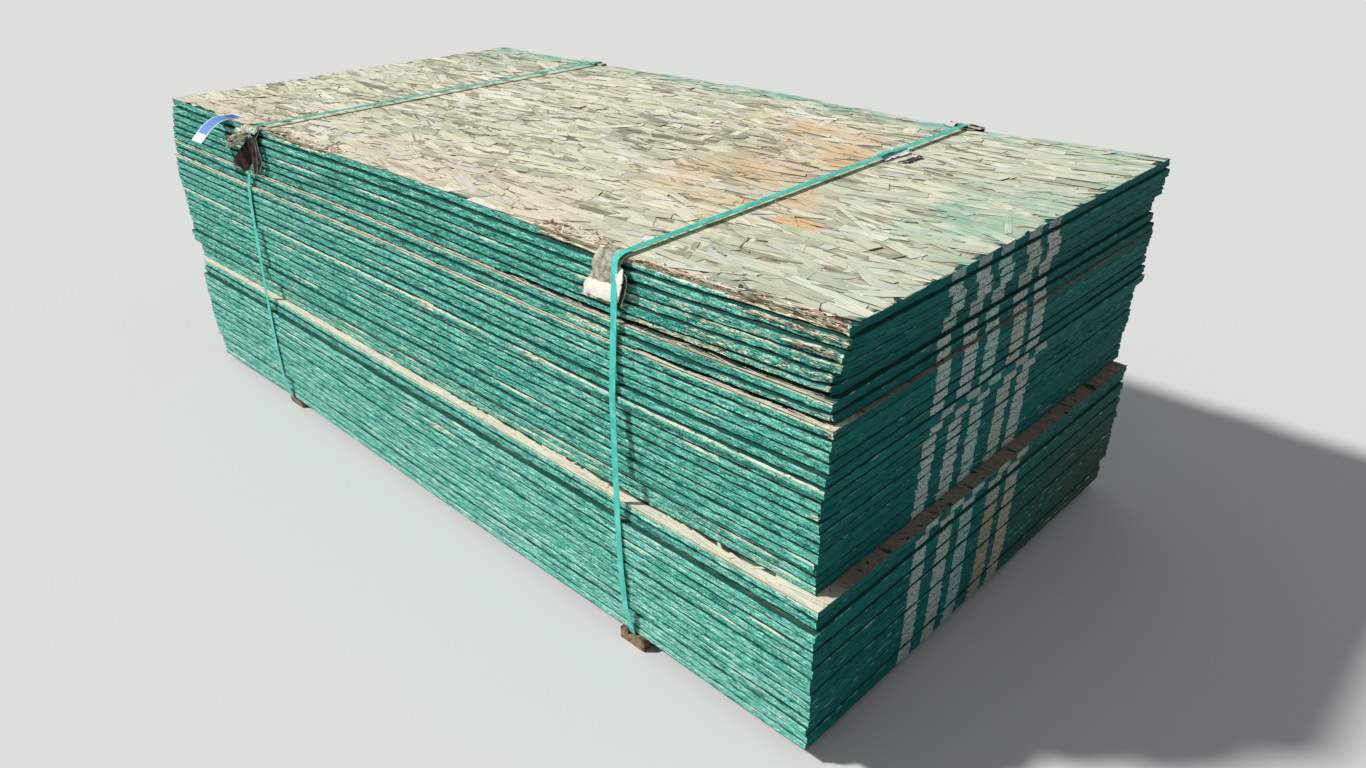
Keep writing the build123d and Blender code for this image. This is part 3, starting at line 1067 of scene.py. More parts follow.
@dataclass
class PanelStack:
    """The panels: one sheet modelled by hand, copied to every place and worn there."""

    band: float = 0.060
    arris: float = 0.0019
    side_cuts: int = 3
    long_cuts: tuple[int, int] = (4, 56)
    short_cuts: tuple[int, int] = (2, 36)
    rough_depth: float = 0.0011
    rough_step: float = 0.014
    wavy_share: float = 0.6
    wavy_step: float = 0.12
    corner_reach: float = 0.045
    corner_share: float = 0.7
    chip_step: float = 0.012
    bite_border: float = 0.012
    bite_step: float = 0.018
    grain_depth: float = 0.0016
    grain_size: float = 0.011
    wear_seed: int = 100
    tone_seed: int = 5
    tone_share: float = 0.7
    most_fresh: float = 0.3
    places: list[PanelPlace] = field(default_factory=list)

    @property
    def rim_width(self) -> float:
        """How far the roughened rim reaches in from the edge."""
        return 1.5 * self.arris

    def model_sheet(self) -> bpy.types.Object:
        """Model one flat sheet with fine divisions round its rim.

        Returns:
            The sheet, centred on the origin with its underside at height 0.
        """
        deselect_all()
        bpy.ops.mesh.primitive_cube_add(size=1.0, location=(0, 0, PANEL_THICKNESS / 2))
        sheet = bpy.context.object
        sheet.name = "sheet_pattern"
        sheet.scale = (PANEL_LENGTH, PANEL_WIDTH, PANEL_THICKNESS)
        bpy.ops.object.transform_apply(location=True, rotation=True, scale=True)
        bpy.ops.object.mode_set(mode="EDIT")
        select_in_edit(sheet, "FACE", lambda face: abs(face.normal.z) > SQUARE)
        bpy.ops.mesh.inset(thickness=self.band, use_individual=True)
        touch = 0.1 * MILLIMETRE
        band_starts = HALF_LENGTH - self.band - MILLIMETRE

        def on_rim(point: Vector) -> bool:
            """Whether a point is on the sheet's rim."""
            return abs(point.y) > HALF_WIDTH - touch or abs(point.x) > HALF_LENGTH - touch

        def rise(edge: bmesh.types.BMEdge) -> float:
            """How far an edge climbs."""
            return abs(edge.verts[0].co.z - edge.verts[1].co.z)

        def way(edge: bmesh.types.BMEdge) -> Vector:
            """An edge's direction."""
            return (edge.verts[0].co - edge.verts[1].co).normalized()

        def level_rim(edge: bmesh.types.BMEdge) -> bool:
            """Whether an edge runs level round the rim."""
            return all(on_rim(vertex.co) for vertex in edge.verts) and rise(edge) < touch

        def upright(edge: bmesh.types.BMEdge) -> bool:
            """Whether an edge stands on the rim."""
            return rise(edge) > 0.6 * PANEL_THICKNESS

        def along_sheet(edge: bmesh.types.BMEdge) -> bool:
            """Whether an edge runs along the sheet."""
            return abs(way(edge).x) > PARALLEL

        def across_end(edge: bmesh.types.BMEdge) -> bool:
            """Whether an edge runs across the sheet, near one of its ends."""
            return abs(way(edge).y) > PARALLEL and abs(edge.verts[0].co.x) > band_starts

        select_in_edit(sheet, "EDGE", level_rim)
        bpy.ops.mesh.bevel(offset=self.arris, segments=1, affect="EDGES")
        for test, rounds in (
            (upright, (self.side_cuts,)),
            (along_sheet, self.long_cuts),
            (across_end, self.short_cuts),
        ):
            for cuts in rounds:
                select_in_edit(sheet, "EDGE", test)
                bpy.ops.mesh.subdivide(number_cuts=cuts)
        bpy.ops.object.mode_set(mode="OBJECT")
        log.info("sheet pattern: %d faces", len(sheet.data.polygons))
        return sheet

    def mark_zones(self, sheet: bpy.types.Object) -> None:
        """Give the sheet its rim group, its heights, its insets and its two material zones.

        Args:
            sheet: The flat sheet.
        """
        mesh = sheet.data
        points = vertex_points(mesh)
        inset = np.minimum(HALF_LENGTH - np.abs(points[:, 0]), HALF_WIDTH - np.abs(points[:, 1]))
        rim = sheet.vertex_groups.new(name="rim")
        rim.add([int(i) for i in np.flatnonzero(inset < self.rim_width)], 1.0, "REPLACE")
        store_floats(mesh, "rise", points[:, 2] / PANEL_THICKNESS)
        store_floats(mesh, "inset", inset)
        for polygon in mesh.polygons:
            polygon.material_index = int(abs(polygon.normal.z) > SQUARE)

    def wear(self, place: PanelPlace, local: np.ndarray) -> tuple[np.ndarray, np.ndarray]:
        """Roughen the rim of one sheet, and take its bites and its worn corner out.

        Args:
            place: The sheet's place.
            local: The flat sheet's points.

        Returns:
            The worn points, and how far the wood at each is frayed.
        """
        rng = np.random.default_rng(self.wear_seed + place.number)
        worn = local.copy()
        fray = np.zeros(len(local))
        rise = (local[:, 2] / PANEL_THICKNESS).round(3)
        corner = WORN_CORNERS.get(place.number, 0.0)
        for side in Side:
            axis, sign = side.value
            half = (HALF_LENGTH, HALF_WIDTH)[axis]
            rim = sign * local[:, axis] > half - self.rim_width
            for row in np.unique(rise[rim]):
                on = np.flatnonzero(rim & (rise == row))
                along = local[on, 1 - axis]
                depth = self.rough_depth * (1 + wander(rng, along, self.rough_step))
                waves = 1 + wander(rng, along, self.wavy_step)
                depth += self.wavy_share * self.rough_depth * waves
                if corner and side in (Side.FRONT, Side.RIGHT):
                    to_corner = HALF_LENGTH - along if side is Side.FRONT else HALF_WIDTH + along
                    near = np.clip(1 - to_corner / self.corner_reach, 0, 1) ** 1.5
                    ragged = 0.75 + 0.45 * wander(rng, along, self.chip_step)
                    depth += self.corner_share * corner * near * ragged
                    fray[on] = np.maximum(fray[on], 0.75 * near)
                if side is Side.FRONT:
                    loss, bare = self.bitten(rng, place, along, float(row))
                    depth += loss
                    fray[on] = np.where(bare < 0, bare, np.maximum(fray[on], bare))
                worn[on, axis] -= sign * depth
        return worn, fray

    def bitten(
        self, rng: np.random.Generator, place: PanelPlace, along: np.ndarray, row: float
    ) -> tuple[np.ndarray, np.ndarray]:
        """Find how deep the bites go in one row of points along the front edge.

        Args:
            rng: Source of the raggedness.
            place: The sheet's place.
            along: Places along the sheet.
            row: The row's share of the thickness.

        Returns:
            The depth at each point, and how far its wood is bare.
        """
        depth, bare = np.zeros(len(along)), np.zeros(len(along))
        border = self.bite_border
        for bite in BITES:
            if bite.panel != place.number or not bite.low <= row <= bite.high:
                continue
            x = along + place.centre[0]
            inside = ease(x, bite.start - border, bite.start + border)
            inside *= ease(x, bite.stop + border, bite.stop - border)
            shaded_hollow = bite.fray < 0
            ragged = 0.9 if shaded_hollow else 0.65 + 0.35 * wander(rng, along, self.bite_step)
            depth = np.maximum(depth, bite.depth * inside * ragged)
            bare = np.where(inside > 0.05, bite.fray * inside, bare)
        return depth, bare

    def build(self) -> None:
        """Model the sheet, copy it to each panel's place and wear every copy."""
        pattern = self.model_sheet()
        self.mark_zones(pattern)
        grain = bpy.data.textures.new("sheet_grain", "CLOUDS")
        grain.noise_scale = self.grain_size
        grain.noise_depth = 2
        local = vertex_points(pattern.data)
        zones = (PaintedEdgeFinish().material(), BareBoardFinish().material())
        tones = np.random.default_rng(self.tone_seed).uniform(0.0, 1.0, PANEL_COUNT)
        for number in range(1, PANEL_COUNT + 1):
            place = PanelPlace.read(number)
            self.places.append(place)
            mesh = pattern.data.copy()
            worn, fray = self.wear(place, local)
            move_vertices(mesh, place.to_world(worn))
            store_floats(mesh, "across", local[:, 1] - BAR_SHIFTS[number - 1] * MILLIMETRE)
            store_floats(mesh, "bar_cover", FAINT_BARS.get(number, 1.0))
            fresh = min(number / 40, self.most_fresh)
            store_floats(mesh, "tone", tones[number - 1] * self.tone_share + fresh)
            store_floats(mesh, "cream", CREAM_ARRISES.get(number, 0.0))
            store_floats(mesh, "fray", fray)
            for material in zones:
                mesh.materials.append(material)
            piece = link_object(f"sheet_{number:02d}", mesh)
            apply_modifier(
                piece, "DISPLACE", texture=grain, strength=self.grain_depth, mid_level=1.0,
                vertex_group="rim", texture_coords="LOCAL",
            )
            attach(piece, "root")
            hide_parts(f"panel_{number:02d}")
        bpy.data.objects.remove(pattern)
        log.info("panels: %d sheets", len(self.places))


@dataclass
class StrandLayer:
    """Wood strands laid over part of a panel's upper face.

    Low and high are the corners of the part, in the panel's own frame.
    """

    name: str
    place: PanelPlace
    count: int
    low: tuple[float, float]
    high: tuple[float, float]
    seed: int
    finish: bpy.types.Material
    length: tuple[float, float] = (0.070, 0.180)
    width: tuple[float, float] = (0.012, 0.046)
    tones: tuple[float, float] = (0.0, 1.0)
    thickness: float = 0.0006
    lift: float = 0.0012
    sunk: float = 0.0008
    tilt: float = 0.004
    curl: float = 0.0004
    stray: float = 0.22
    wild_share: float = 0.03
    wild_turn: float = 1.5
    loose_share: float = 0.025
    loose_pitch: tuple[float, float] = (0.02, 0.05)
    loose_curl: tuple[float, float] = (0.001, 0.004)
    most_skew: float = 0.9
    least_width: float = 0.72
    proudest: float = 0.0038
    rim_margin: float = 0.0012
    grain_spread: float = 50.0
    raw: float = 0.0
    stations: tuple[float, ...] = (-0.5, -0.18, 0.18, 0.5)

    def shell(self) -> np.ndarray:
        """List the quads of one strand's closed shell.

        Returns:
            Vertex numbers, for four points a station and the stations in a row.
        """
        quads = []
        last = len(self.stations) - 1
        for k in range(last):
            a, b, c, d = 4 * k, 4 * k + 1, 4 * k + 5, 4 * k + 4
            quads.append((a, d, c, b))
            quads.append((a + 2, b + 2, c + 2, d + 2))
            quads.append((a, a + 2, d + 2, d))
            quads.append((b, c, c + 2, b + 2))
        quads.append((0, 1, 3, 2))
        quads.append((4 * last, 4 * last + 2, 4 * last + 3, 4 * last + 1))
        return np.array(quads)

    def under_straps(
        self, centre: np.ndarray, length: np.ndarray, width: np.ndarray, angle: np.ndarray
    ) -> np.ndarray:
        """Find which strands a strap or the tag presses flat.

        Args:
            centre: The strands' middles in the panel's own frame.
            length: Their lengths.
            width: Their widths.
            angle: Their turns from the panel's length.

        Returns:
            True for each strand that reaches under one of them.
        """
        middle = self.place.to_world(np.column_stack((centre, np.zeros(len(centre)))))
        reach = 0.5 * (length * np.abs(np.cos(angle)) + width * np.abs(np.sin(angle)))
        reach += 2 * MILLIMETRE
        pressed = np.zeros(len(centre), bool)
        face = self.place.to_world(np.zeros((1, 3)))[0, 2]
        for name in ("strap_left", "strap_right"):
            points = vertex_points(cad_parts[name].data)
            top = points[points[:, 2] > face]
            slope, start = np.polyfit(top[:, 1], top[:, 0], 1)
            away = np.abs(middle[:, 0] - slope * middle[:, 1] - start)
            pressed |= away < 0.5 * STRAP_WIDTH + reach
        low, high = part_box("tag")
        beside = np.abs(middle[:, 0] - 0.5 * (low[0] + high[0])) < 0.5 * (high[0] - low[0]) + reach
        return pressed | (beside & (middle[:, 1] < high[1] + 0.5 * width))

    def lie(
        self, rng: np.random.Generator, pressed: np.ndarray
    ) -> tuple[np.ndarray, np.ndarray, np.ndarray, np.ndarray]:
        """Draw how each strand lies: some are loose, and those under a strap are flat.

        Args:
            rng: Source of the draws.
            pressed: True for each strand that is pressed flat.

        Returns:
            The strands' heights, pitches, rolls and curls.
        """
        count = self.count
        base = rng.uniform(-self.sunk, self.lift, count)
        pitch = rng.normal(0.0, self.tilt, count)
        roll = rng.normal(0.0, self.tilt * 3, count)
        curl = rng.normal(0.0, self.curl, count)
        loose = rng.random(count) < self.loose_share
        many = loose.sum()
        pitch[loose] = rng.choice((-1, 1), many) * rng.uniform(*self.loose_pitch, many)
        curl[loose] = rng.uniform(*self.loose_curl, many)
        base[pressed] = rng.uniform(-self.sunk, -0.5 * self.sunk, pressed.sum())
        for slope in (pitch, roll, curl):
            slope[pressed] = 0.0
        return base, pitch, roll, curl

    def build(self) -> None:
        """Lay the strands and join them in one mesh."""
        rng = np.random.default_rng(self.seed)
        count, stations = self.count, len(self.stations)
        centre = rng.uniform(self.low, self.high, (count, 2))
        length = rng.uniform(*self.length, count)
        width = self.width[0] + (self.width[1] - self.width[0]) * rng.beta(1.5, 2.0, count)
        angle = rng.normal(0.0, self.stray, count)
        wild = rng.random(count) < self.wild_share
        angle[wild] = rng.uniform(-self.wild_turn, self.wild_turn, wild.sum())
        pressed = self.under_straps(centre, length, width, angle)
        base, pitch, roll, curl = self.lie(rng, pressed)
        skew = rng.uniform(-self.most_skew, self.most_skew, (count, 2))
        narrow = rng.uniform(self.least_width, 1.0, (count, stations))
        offset = rng.uniform(0, self.grain_spread, (count, 2))
        points = np.zeros((count, stations, 2, 2, 3))
        uvs = np.zeros((count, stations, 2, 2, 2))
        sides = np.zeros((count, stations, 2, 2))
        leans = [skew[:, 0], *[0.0] * (stations - 2), skew[:, 1]]
        for k, station in enumerate(self.stations):
            for side, across in enumerate((-0.5, 0.5)):
                u = station * length + across * width * leans[k]
                v = across * width * narrow[:, k]
                rise = base + u * pitch + v * roll + curl * (2 * station) ** 2
                x = centre[:, 0] + u * np.cos(angle) - v * np.sin(angle)
                y = centre[:, 1] + u * np.sin(angle) + v * np.cos(angle)
                points[:, k, :, side, 0] = x[:, None]
                points[:, k, :, side, 1] = y[:, None]
                points[:, k, :, side, 2] = rise[:, None] + np.array((0.0, self.thickness))
                uvs[:, k, :, side, 0] = (u + offset[:, 0])[:, None]
                uvs[:, k, :, side, 1] = (v + offset[:, 1])[:, None]
                sides[:, k, :, side] = 2 * across
        flat = points.reshape(-1, 3)
        for axis, half in enumerate((HALF_LENGTH, HALF_WIDTH)):
            flat[:, axis] = flat[:, axis].clip(self.rim_margin - half, half - self.rim_margin)
        flat[:, 2] = flat[:, 2].clip(-self.sunk, self.proudest) + PANEL_THICKNESS
        per_strand = 4 * stations
        starts = per_strand * np.arange(count)[:, None, None]
        faces = (self.shell()[None] + starts).reshape(-1, 4)
        piece = quads_object(self.name, self.place.to_world(flat), faces, uvs.reshape(-1, 2))
        tone = self.tones[0] + (self.tones[1] - self.tones[0]) * rng.random(count)
        store_floats(piece.data, "tone", np.repeat(tone, per_strand))
        store_floats(piece.data, "side", sides.ravel())
        store_floats(piece.data, "raw", self.raw)
        piece.data.materials.append(self.finish)
        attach(piece, "root")
        log.info("%s: %d strands, %d faces", self.name, count, len(faces))


@dataclass(frozen=True)
class FrayedPatch:
    """A stretch of a panel's front edge where splinters stand out of the wood."""

    panel: int
    start: float
    stop: float
    reach: float
    count: int
    sunk: float


FRAYED_PATCHES: tuple[FrayedPatch, ...] = (
    FrayedPatch(1, 0.985, 1.205, 0.024, 170, 0.006),
    FrayedPatch(1, 0.760, 0.985, 0.010, 120, 0.004),
    FrayedPatch(1, 0.505, 0.682, 0.042, 260, 0.0),
    FrayedPatch(1, -0.610, -0.250, 0.030, 260, 0.003),
    FrayedPatch(2, 1.030, 1.190, 0.012, 70, 0.008),
    FrayedPatch(3, 1.110, 1.200, 0.010, 35, 0.008),
)


@dataclass(frozen=True)
class Ledge:
    """A rim that stands out from under the panels above, and the width of its bare wood."""

    panel: int
    front: float
    end: float = 0.0


@dataclass
class LooseStrands:
    """All strands: the top face, its dark slivers that are painted shadow lines, the open ledges
    and the frayed edges.
    """

    places: Sequence[PanelPlace]
    top_count: int = 3000
    shadow_sliver_count: int = 950
    ledge_counts: tuple[int, int] = (520, 260)
    top_seed: int = 21
    shadow_sliver_seed: int = 33
    ledge_seeds: tuple[int, int] = (40, 70)
    splinter_seed: int = 90
    splinter_inset: float = 0.002
    ledges: tuple[Ledge, ...] = (Ledge(7, 0.003), Ledge(9, 0.0045, 0.005), Ledge(26, 0.018, 0.034))
    corners: tuple[tuple[float, float], ...] = (
        (-HALF_LENGTH, -HALF_WIDTH), (HALF_LENGTH, HALF_WIDTH),
    )

    def build(self) -> None:
        """Lay every layer."""
        weathered = StrandFinish().material()
        fresh = StrandFinish(name="ledge_strand", weathered=False).material()
        top = self.places[0]
        StrandLayer(
            "top_strands", top, self.top_count, *self.corners, self.top_seed, weathered
        ).build()
        # Painted shadow: thin dark slivers stand in for the shadow lines along lifted strands.
        StrandLayer(
            "top_shadow_slivers", top, self.shadow_sliver_count, *self.corners, self.shadow_sliver_seed, weathered,
            length=(0.018, 0.070), width=(0.002, 0.008), tones=(0.0, 0.05),
            lift=0.0022, tilt=0.02, curl=0.001, stray=0.3,
        ).build()
        for ledge in self.ledges:
            self.cover_ledge(ledge, fresh)
        for number, patch in enumerate(FRAYED_PATCHES):
            self.fray(number, patch, weathered)

    def cover_ledge(self, ledge: Ledge, finish: bpy.types.Material) -> None:
        """Lay strands along the front of a ledge, and across its right end if that is bare too.

        Args:
            ledge: The ledge.
            finish: The strands' material.
        """
        number, front = ledge.panel, ledge.front
        low, high = self.corners
        place = self.places[number - 1]
        front_count, end_count = self.ledge_counts
        front_seed, end_seed = (seed + number for seed in self.ledge_seeds)
        StrandLayer(
            f"ledge_strands_{number:02d}_front", place, front_count, low,
            (high[0], low[1] + front), front_seed, finish,
            width=(0.3 * front, 0.7 * front), tones=(0.50, 1.0),
            stray=0.08, loose_share=0.0, lift=0.0005,
        ).build()
        if ledge.end:
            StrandLayer(
                f"ledge_strands_{number:02d}_end", place, end_count,
                (high[0] - ledge.end, low[1]), high, end_seed, finish,
                width=(0.006, 0.022), tones=(0.1, 0.9),
                stray=0.5, loose_share=0.0, lift=0.0006,
            ).build()

    def fray(self, number: int, patch: FrayedPatch, finish: bpy.types.Material) -> None:
        """Set splinters in a frayed stretch of a panel's front edge.

        Args:
            number: The patch's number, from 0.
            patch: The stretch.
            finish: The splinters' material.
        """
        place = self.places[patch.panel - 1]
        shift = place.centre[0]
        lift, proudest = (0.0022, 0.003) if patch.panel == 1 else (-0.002, 0.0)
        StrandLayer(
            f"splinters_{number + 1}", place, patch.count,
            (patch.start - shift, self.splinter_inset - HALF_WIDTH),
            (patch.stop - shift, patch.reach - HALF_WIDTH), self.splinter_seed + number, finish,
            length=(0.012, 0.050), width=(0.002, 0.009), tones=(0.15, 1.0),
            sunk=patch.sunk, lift=lift, tilt=0.05, curl=0.001,
            stray=0.35, proudest=proudest, raw=1.0,
        ).build()


class Board(Enum):
    """Which of a guard's board colours a ply has."""

    OUTER = 0
    INNER = 1
    TORN = 2


@dataclass(frozen=True)
class Ply:
    """One ply of a guard: a crumpled sheet ruled between its left and its right edge.

    Both edges run downwards, in millimetres in the shared frame.
    """

    left: tuple[Point, ...]
    right: tuple[Point, ...]
    crumple: float = 1.5
    ragged: float = 0.0
    thickness: float = 2.2
    colour: Board = Board.OUTER


@dataclass(frozen=True)
class PlyModeller:
    """Makes crumpled, ragged plies out of flat planes. Its sizes are in millimetres.

    The noise seed is set before every ply, because Blender takes it from the clock otherwise.
    """

    seed: float
    noise_seed: int = 1795760025
    number_step: float = 3.7
    cuts: int = 15
    crumple_size: float = 17.0
    tear_size: float = 5.0
    ragged_share: float = 0.2
    ceiling: float = 852.5

    def crumpled(self, share: np.ndarray, number: int, ply: Ply) -> np.ndarray:
        """Rule a ply's points between its edges, crumple them and tear the rim.

        Args:
            share: Places on the flat plane, from 0 to 1 across it and up it.
            number: The ply's number, which shifts its noise.
            ply: The ply.

        Returns:
            The points, one row each.
        """
        down = 1 - share[:, 1]
        left, right = (
            np.column_stack([np.interp(down, np.linspace(0, 1, len(edge)), row) for row in edge.T])
            for edge in (np.array(ply.left), np.array(ply.right))
        )
        points = left * (1 - share[:, :1]) + right * share[:, :1]
        noise.seed_set(self.noise_seed)
        offset = Vector((self.seed, self.number_step * number, 0.0))
        for index, point in enumerate(points):
            wave = noise.noise_vector(Vector(point) / self.crumple_size + offset)
            tear = noise.noise_vector(Vector(point) / self.tear_size + offset)
            inset = np.array(min(*share[index], *(1 - share[index])))
            rim = 1 - float(ease(inset, 0.0, self.ragged_share))
            points[index] += np.array(wave) * ply.crumple + np.array(tear) * ply.ragged * rim
        points[:, 2] = points[:, 2].clip(max=self.ceiling)
        return points

    def model(
        self, number: int, ply: Ply, faces: Sequence[bpy.types.Material]
    ) -> bpy.types.Object:
        """Model one ply from a plane.

        Args:
            number: The ply's number.
            ply: The ply.
            faces: The materials: a colour for each kind of board, and the torn core last.

        Returns:
            The ply's object.
        """
        deselect_all()
        bpy.ops.mesh.primitive_plane_add(size=1.0)
        piece = bpy.context.object
        bpy.ops.object.mode_set(mode="EDIT")
        bpy.ops.mesh.subdivide(number_cuts=self.cuts)
        bpy.ops.object.mode_set(mode="OBJECT")
        share = vertex_points(piece.data)[:, :2] + 0.5
        move_vertices(piece.data, self.crumpled(share, number, ply) * MILLIMETRE)
        for material in faces:
            piece.data.materials.append(material)
        for polygon in piece.data.polygons:
            polygon.material_index = ply.colour.value
        apply_modifier(
            piece, "SOLIDIFY", thickness=ply.thickness * MILLIMETRE, offset=0.0,
            material_offset_rim=len(faces) - 1 - ply.colour.value,
        )
        bpy.ops.object.mode_set(mode="EDIT")
        bpy.ops.mesh.select_all(action="SELECT")
        bpy.ops.mesh.normals_make_consistent(inside=False)
        bpy.ops.object.mode_set(mode="OBJECT")
        bpy.ops.object.shade_smooth_by_angle(angle=SHARP_ANGLE)
        return piece


@dataclass(frozen=True)
class EdgeGuard:
    """A paperboard guard under a strap, bent over the top edge, with its plies split apart."""

    node: str
    plies: tuple[Ply, ...]
    seed: float

    def build(self, faces: Sequence[bpy.types.Material]) -> None:
        """Model every ply and join them in one guard, which stands for its CAD node.

        Args:
            faces: The guard's materials: its board colours, and the torn core last.
        """
        modeller = PlyModeller(self.seed)
        pieces = [modeller.model(number, ply, faces) for number, ply in enumerate(self.plies)]
        make_active(pieces[0])
        for piece in pieces[1:]:
            piece.select_set(True)
        bpy.ops.object.join()
        guard = bpy.context.object
        guard.name = f"torn_{self.node}"
        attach(guard, "root")
        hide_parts(self.node)
        log.info("%s: %d plies, %d faces", guard.name, len(self.plies), len(guard.data.polygons))


FRONT_LEFT_GUARD = EdgeGuard(
    "edge_guard_front_left",
    (
        Ply(
            (
                (-708, -545, 846), (-712, -572, 846), (-712, -585, 826),
                (-708, -590, 800), (-700, -592, 756),
            ),
            (
                (-640, -545, 846), (-642, -572, 846), (-643, -585, 826),
                (-644, -590, 800), (-650, -592, 760),
            ),
            crumple=1.2,
        ),
        Ply(
            ((-653, -594, 831), (-690, -608, 800), (-726, -622, 761), (-694, -612, 733)),
            ((-647, -593, 829), (-648, -597, 800), (-658, -601, 762), (-676, -605, 742)),
            crumple=1.0,
        ),
        Ply(
            ((-645, -594, 827), (-641, -600, 800), (-644, -604, 768), (-655, -603, 734)),
            ((-638, -593, 829), (-628, -598, 800), (-626, -601, 768), (-648, -602, 732)),
            crumple=1.0,
        ),
        Ply(
            ((-636, -593, 828), (-626, -596, 800), (-624, -597, 768), (-642, -599, 738)),
            ((-630, -592, 829), (-618, -595, 800), (-612, -596, 767), (-634, -599, 740)),
            crumple=0.8,
        ),
        Ply(
            ((-694, -642, 811), (-703, -643, 804), (-712, -641, 797)),
            ((-668, -594, 832), (-680, -595, 824), (-690, -596, 814)),
            crumple=1.0, ragged=1.5, colour=Board.INNER,
        ),
        Ply(
            ((-728, -624, 825), (-726, -628, 820), (-720, -627, 813)),
            ((-676, -588, 838), (-682, -590, 832), (-692, -592, 824)),
            crumple=1.5, ragged=2.5, colour=Board.INNER, thickness=1.6,
        ),
        Ply(
            ((-726, -598, 842), (-728, -604, 836), (-722, -606, 830)),
            ((-668, -580, 848), (-672, -588, 842), (-678, -591, 834)),
            crumple=2.5, ragged=4.0, colour=Board.TORN, thickness=1.2,
        ),
        Ply(
            ((-704, -584, 850), (-708, -594, 847), (-706, -600, 838)),
            ((-656, -566, 850), (-656, -578, 850), (-660, -590, 840)),
            crumple=2.5, ragged=5.0, colour=Board.TORN, thickness=1.2,
        ),
        Ply(
            ((-690, -580, 851), (-684, -590, 850), (-680, -598, 842)),
            ((-644, -562, 850), (-640, -574, 850), (-642, -588, 836)),
            crumple=2.5, ragged=5.0, colour=Board.TORN, thickness=1.2,
        ),
        Ply(
            ((-650, -566, 850), (-650, -572, 850), (-650, -577, 847)),
            ((-548, -534, 851), (-548, -540, 851), (-550, -547, 848)),
            crumple=1.0, ragged=1.0, colour=Board.INNER, thickness=1.6,
        ),
    ),
    2.0,
)

FRONT_RIGHT_GUARD = EdgeGuard(
    "edge_guard_front_right",
    (
        Ply(
            (
                (690, -546, 842), (684, -571, 841.5), (678, -581, 826),
                (681, -589, 800), (667, -597, 778), (668, -597, 761),
            ),
            (
                (752, -546, 841), (750, -570, 841), (746, -580, 828),
                (742, -589, 800), (738, -590, 776), (734, -590, 757),
            ),
            crumple=3.2, ragged=1.5,
        ),
        Ply(
            ((744, -580, 826), (744, -589, 812), (744, -590, 786), (742, -590, 760)),
            ((758, -583, 822), (770, -596, 813), (762, -595, 788), (752, -594, 764)),
            crumple=1.0, ragged=1.5, colour=Board.INNER,
        ),
        Ply(
            ((746, -584, 818), (748, -588, 806), (746, -588, 780), (744, -588, 754)),
            ((772, -590, 816), (776, -592, 806), (768, -591, 780), (756, -590, 756)),
            crumple=1.0, ragged=1.0, colour=Board.TORN,
        ),
    ),
    5.0,
)

BACK_LEFT_GUARD = EdgeGuard(
    "edge_guard_back_left",
    (
        Ply(
            ((-723, 626, 848), (-723, 650, 849), (-723, 654, 835), (-720, 655, 786)),
            ((-652, 626, 848), (-652, 650, 849), (-652, 654, 835), (-655, 655, 790)),
            crumple=1.5, ragged=1.0,
        ),
        Ply(
            ((-770, 640, 853), (-764, 648, 850), (-756, 655, 838)),
            ((-700, 636, 851), (-700, 648, 850), (-700, 654, 840)),
            crumple=2.0, ragged=4.0, colour=Board.INNER, thickness=1.4,
        ),
        Ply(
            ((-750, 624, 853), (-742, 634, 852), (-736, 642, 850)),
            ((-694, 628, 850), (-694, 636, 850), (-694, 646, 850)),
            crumple=1.0, ragged=3.0, colour=Board.INNER, thickness=1.0,
        ),
    ),
    8.0,
)

BACK_RIGHT_GUARD = EdgeGuard(
    "edge_guard_back_right",
    (
        Ply(
            ((684, 628, 843), (682, 652, 844), (682, 656, 830), (684, 657, 782)),
            ((742, 628, 843), (744, 652, 844), (744, 656, 830), (742, 657, 786)),
            crumple=1.5, ragged=1.0,
        ),
        Ply(
            ((724, 628, 850), (724, 644, 850), (724, 656, 846), (724, 657, 820)),
            ((758, 632, 848), (760, 644, 848), (758, 655, 844), (752, 657, 822)),
            crumple=1.5, ragged=1.0, thickness=5.0, colour=Board.TORN,
        ),
        Ply(
            ((668, 640, 852), (672, 650, 850), (674, 655, 842)),
            ((700, 634, 849), (700, 650, 848), (700, 655, 842)),
            crumple=2.0, ragged=4.0, colour=Board.INNER, thickness=1.2,
        ),
    ),
    11.0,
)


def build_guards() -> None:
    """Model the four guards with their board colours; the brown board is partly and the black
    board wholly painted shade.
    """
    shaded_brown, tan, ragged, core, flap, white, shadow_black = (
        finish.material()
        for finish in (
            # Painted shade: the brown board is very dark, partly the wet board's own brown and
            # partly the shade on the splayed plies.
            GuardFinish("guard_shaded_brown", (0.014, 0.008, 0.006), (0.050, 0.031, 0.023)),
            GuardFinish("guard_tan", (0.26, 0.23, 0.17), (0.60, 0.55, 0.42)),
            GuardFinish("guard_ragged", (0.28, 0.25, 0.18), (0.80, 0.76, 0.60)),
            GuardFinish("guard_core", (0.42, 0.39, 0.31), (0.70, 0.66, 0.54)),
            GuardFinish("guard_flap", (0.20, 0.18, 0.13), (0.50, 0.47, 0.38), white_below=0.791),
            GuardFinish("guard_white", (0.66, 0.64, 0.58), (0.84, 0.82, 0.76)),
            # Painted shade: the black board stands for plies that lie in shadow.
            GuardFinish("guard_shadow_black", (0.016, 0.010, 0.014), (0.050, 0.034, 0.040)),
        )
    )
    FRONT_LEFT_GUARD.build((shaded_brown, tan, ragged, core))
    FRONT_RIGHT_GUARD.build((flap, white, shadow_black, core))
    BACK_LEFT_GUARD.build((tan, white, shadow_black, core))
    BACK_RIGHT_GUARD.build((shaded_brown, tan, shadow_black, core))


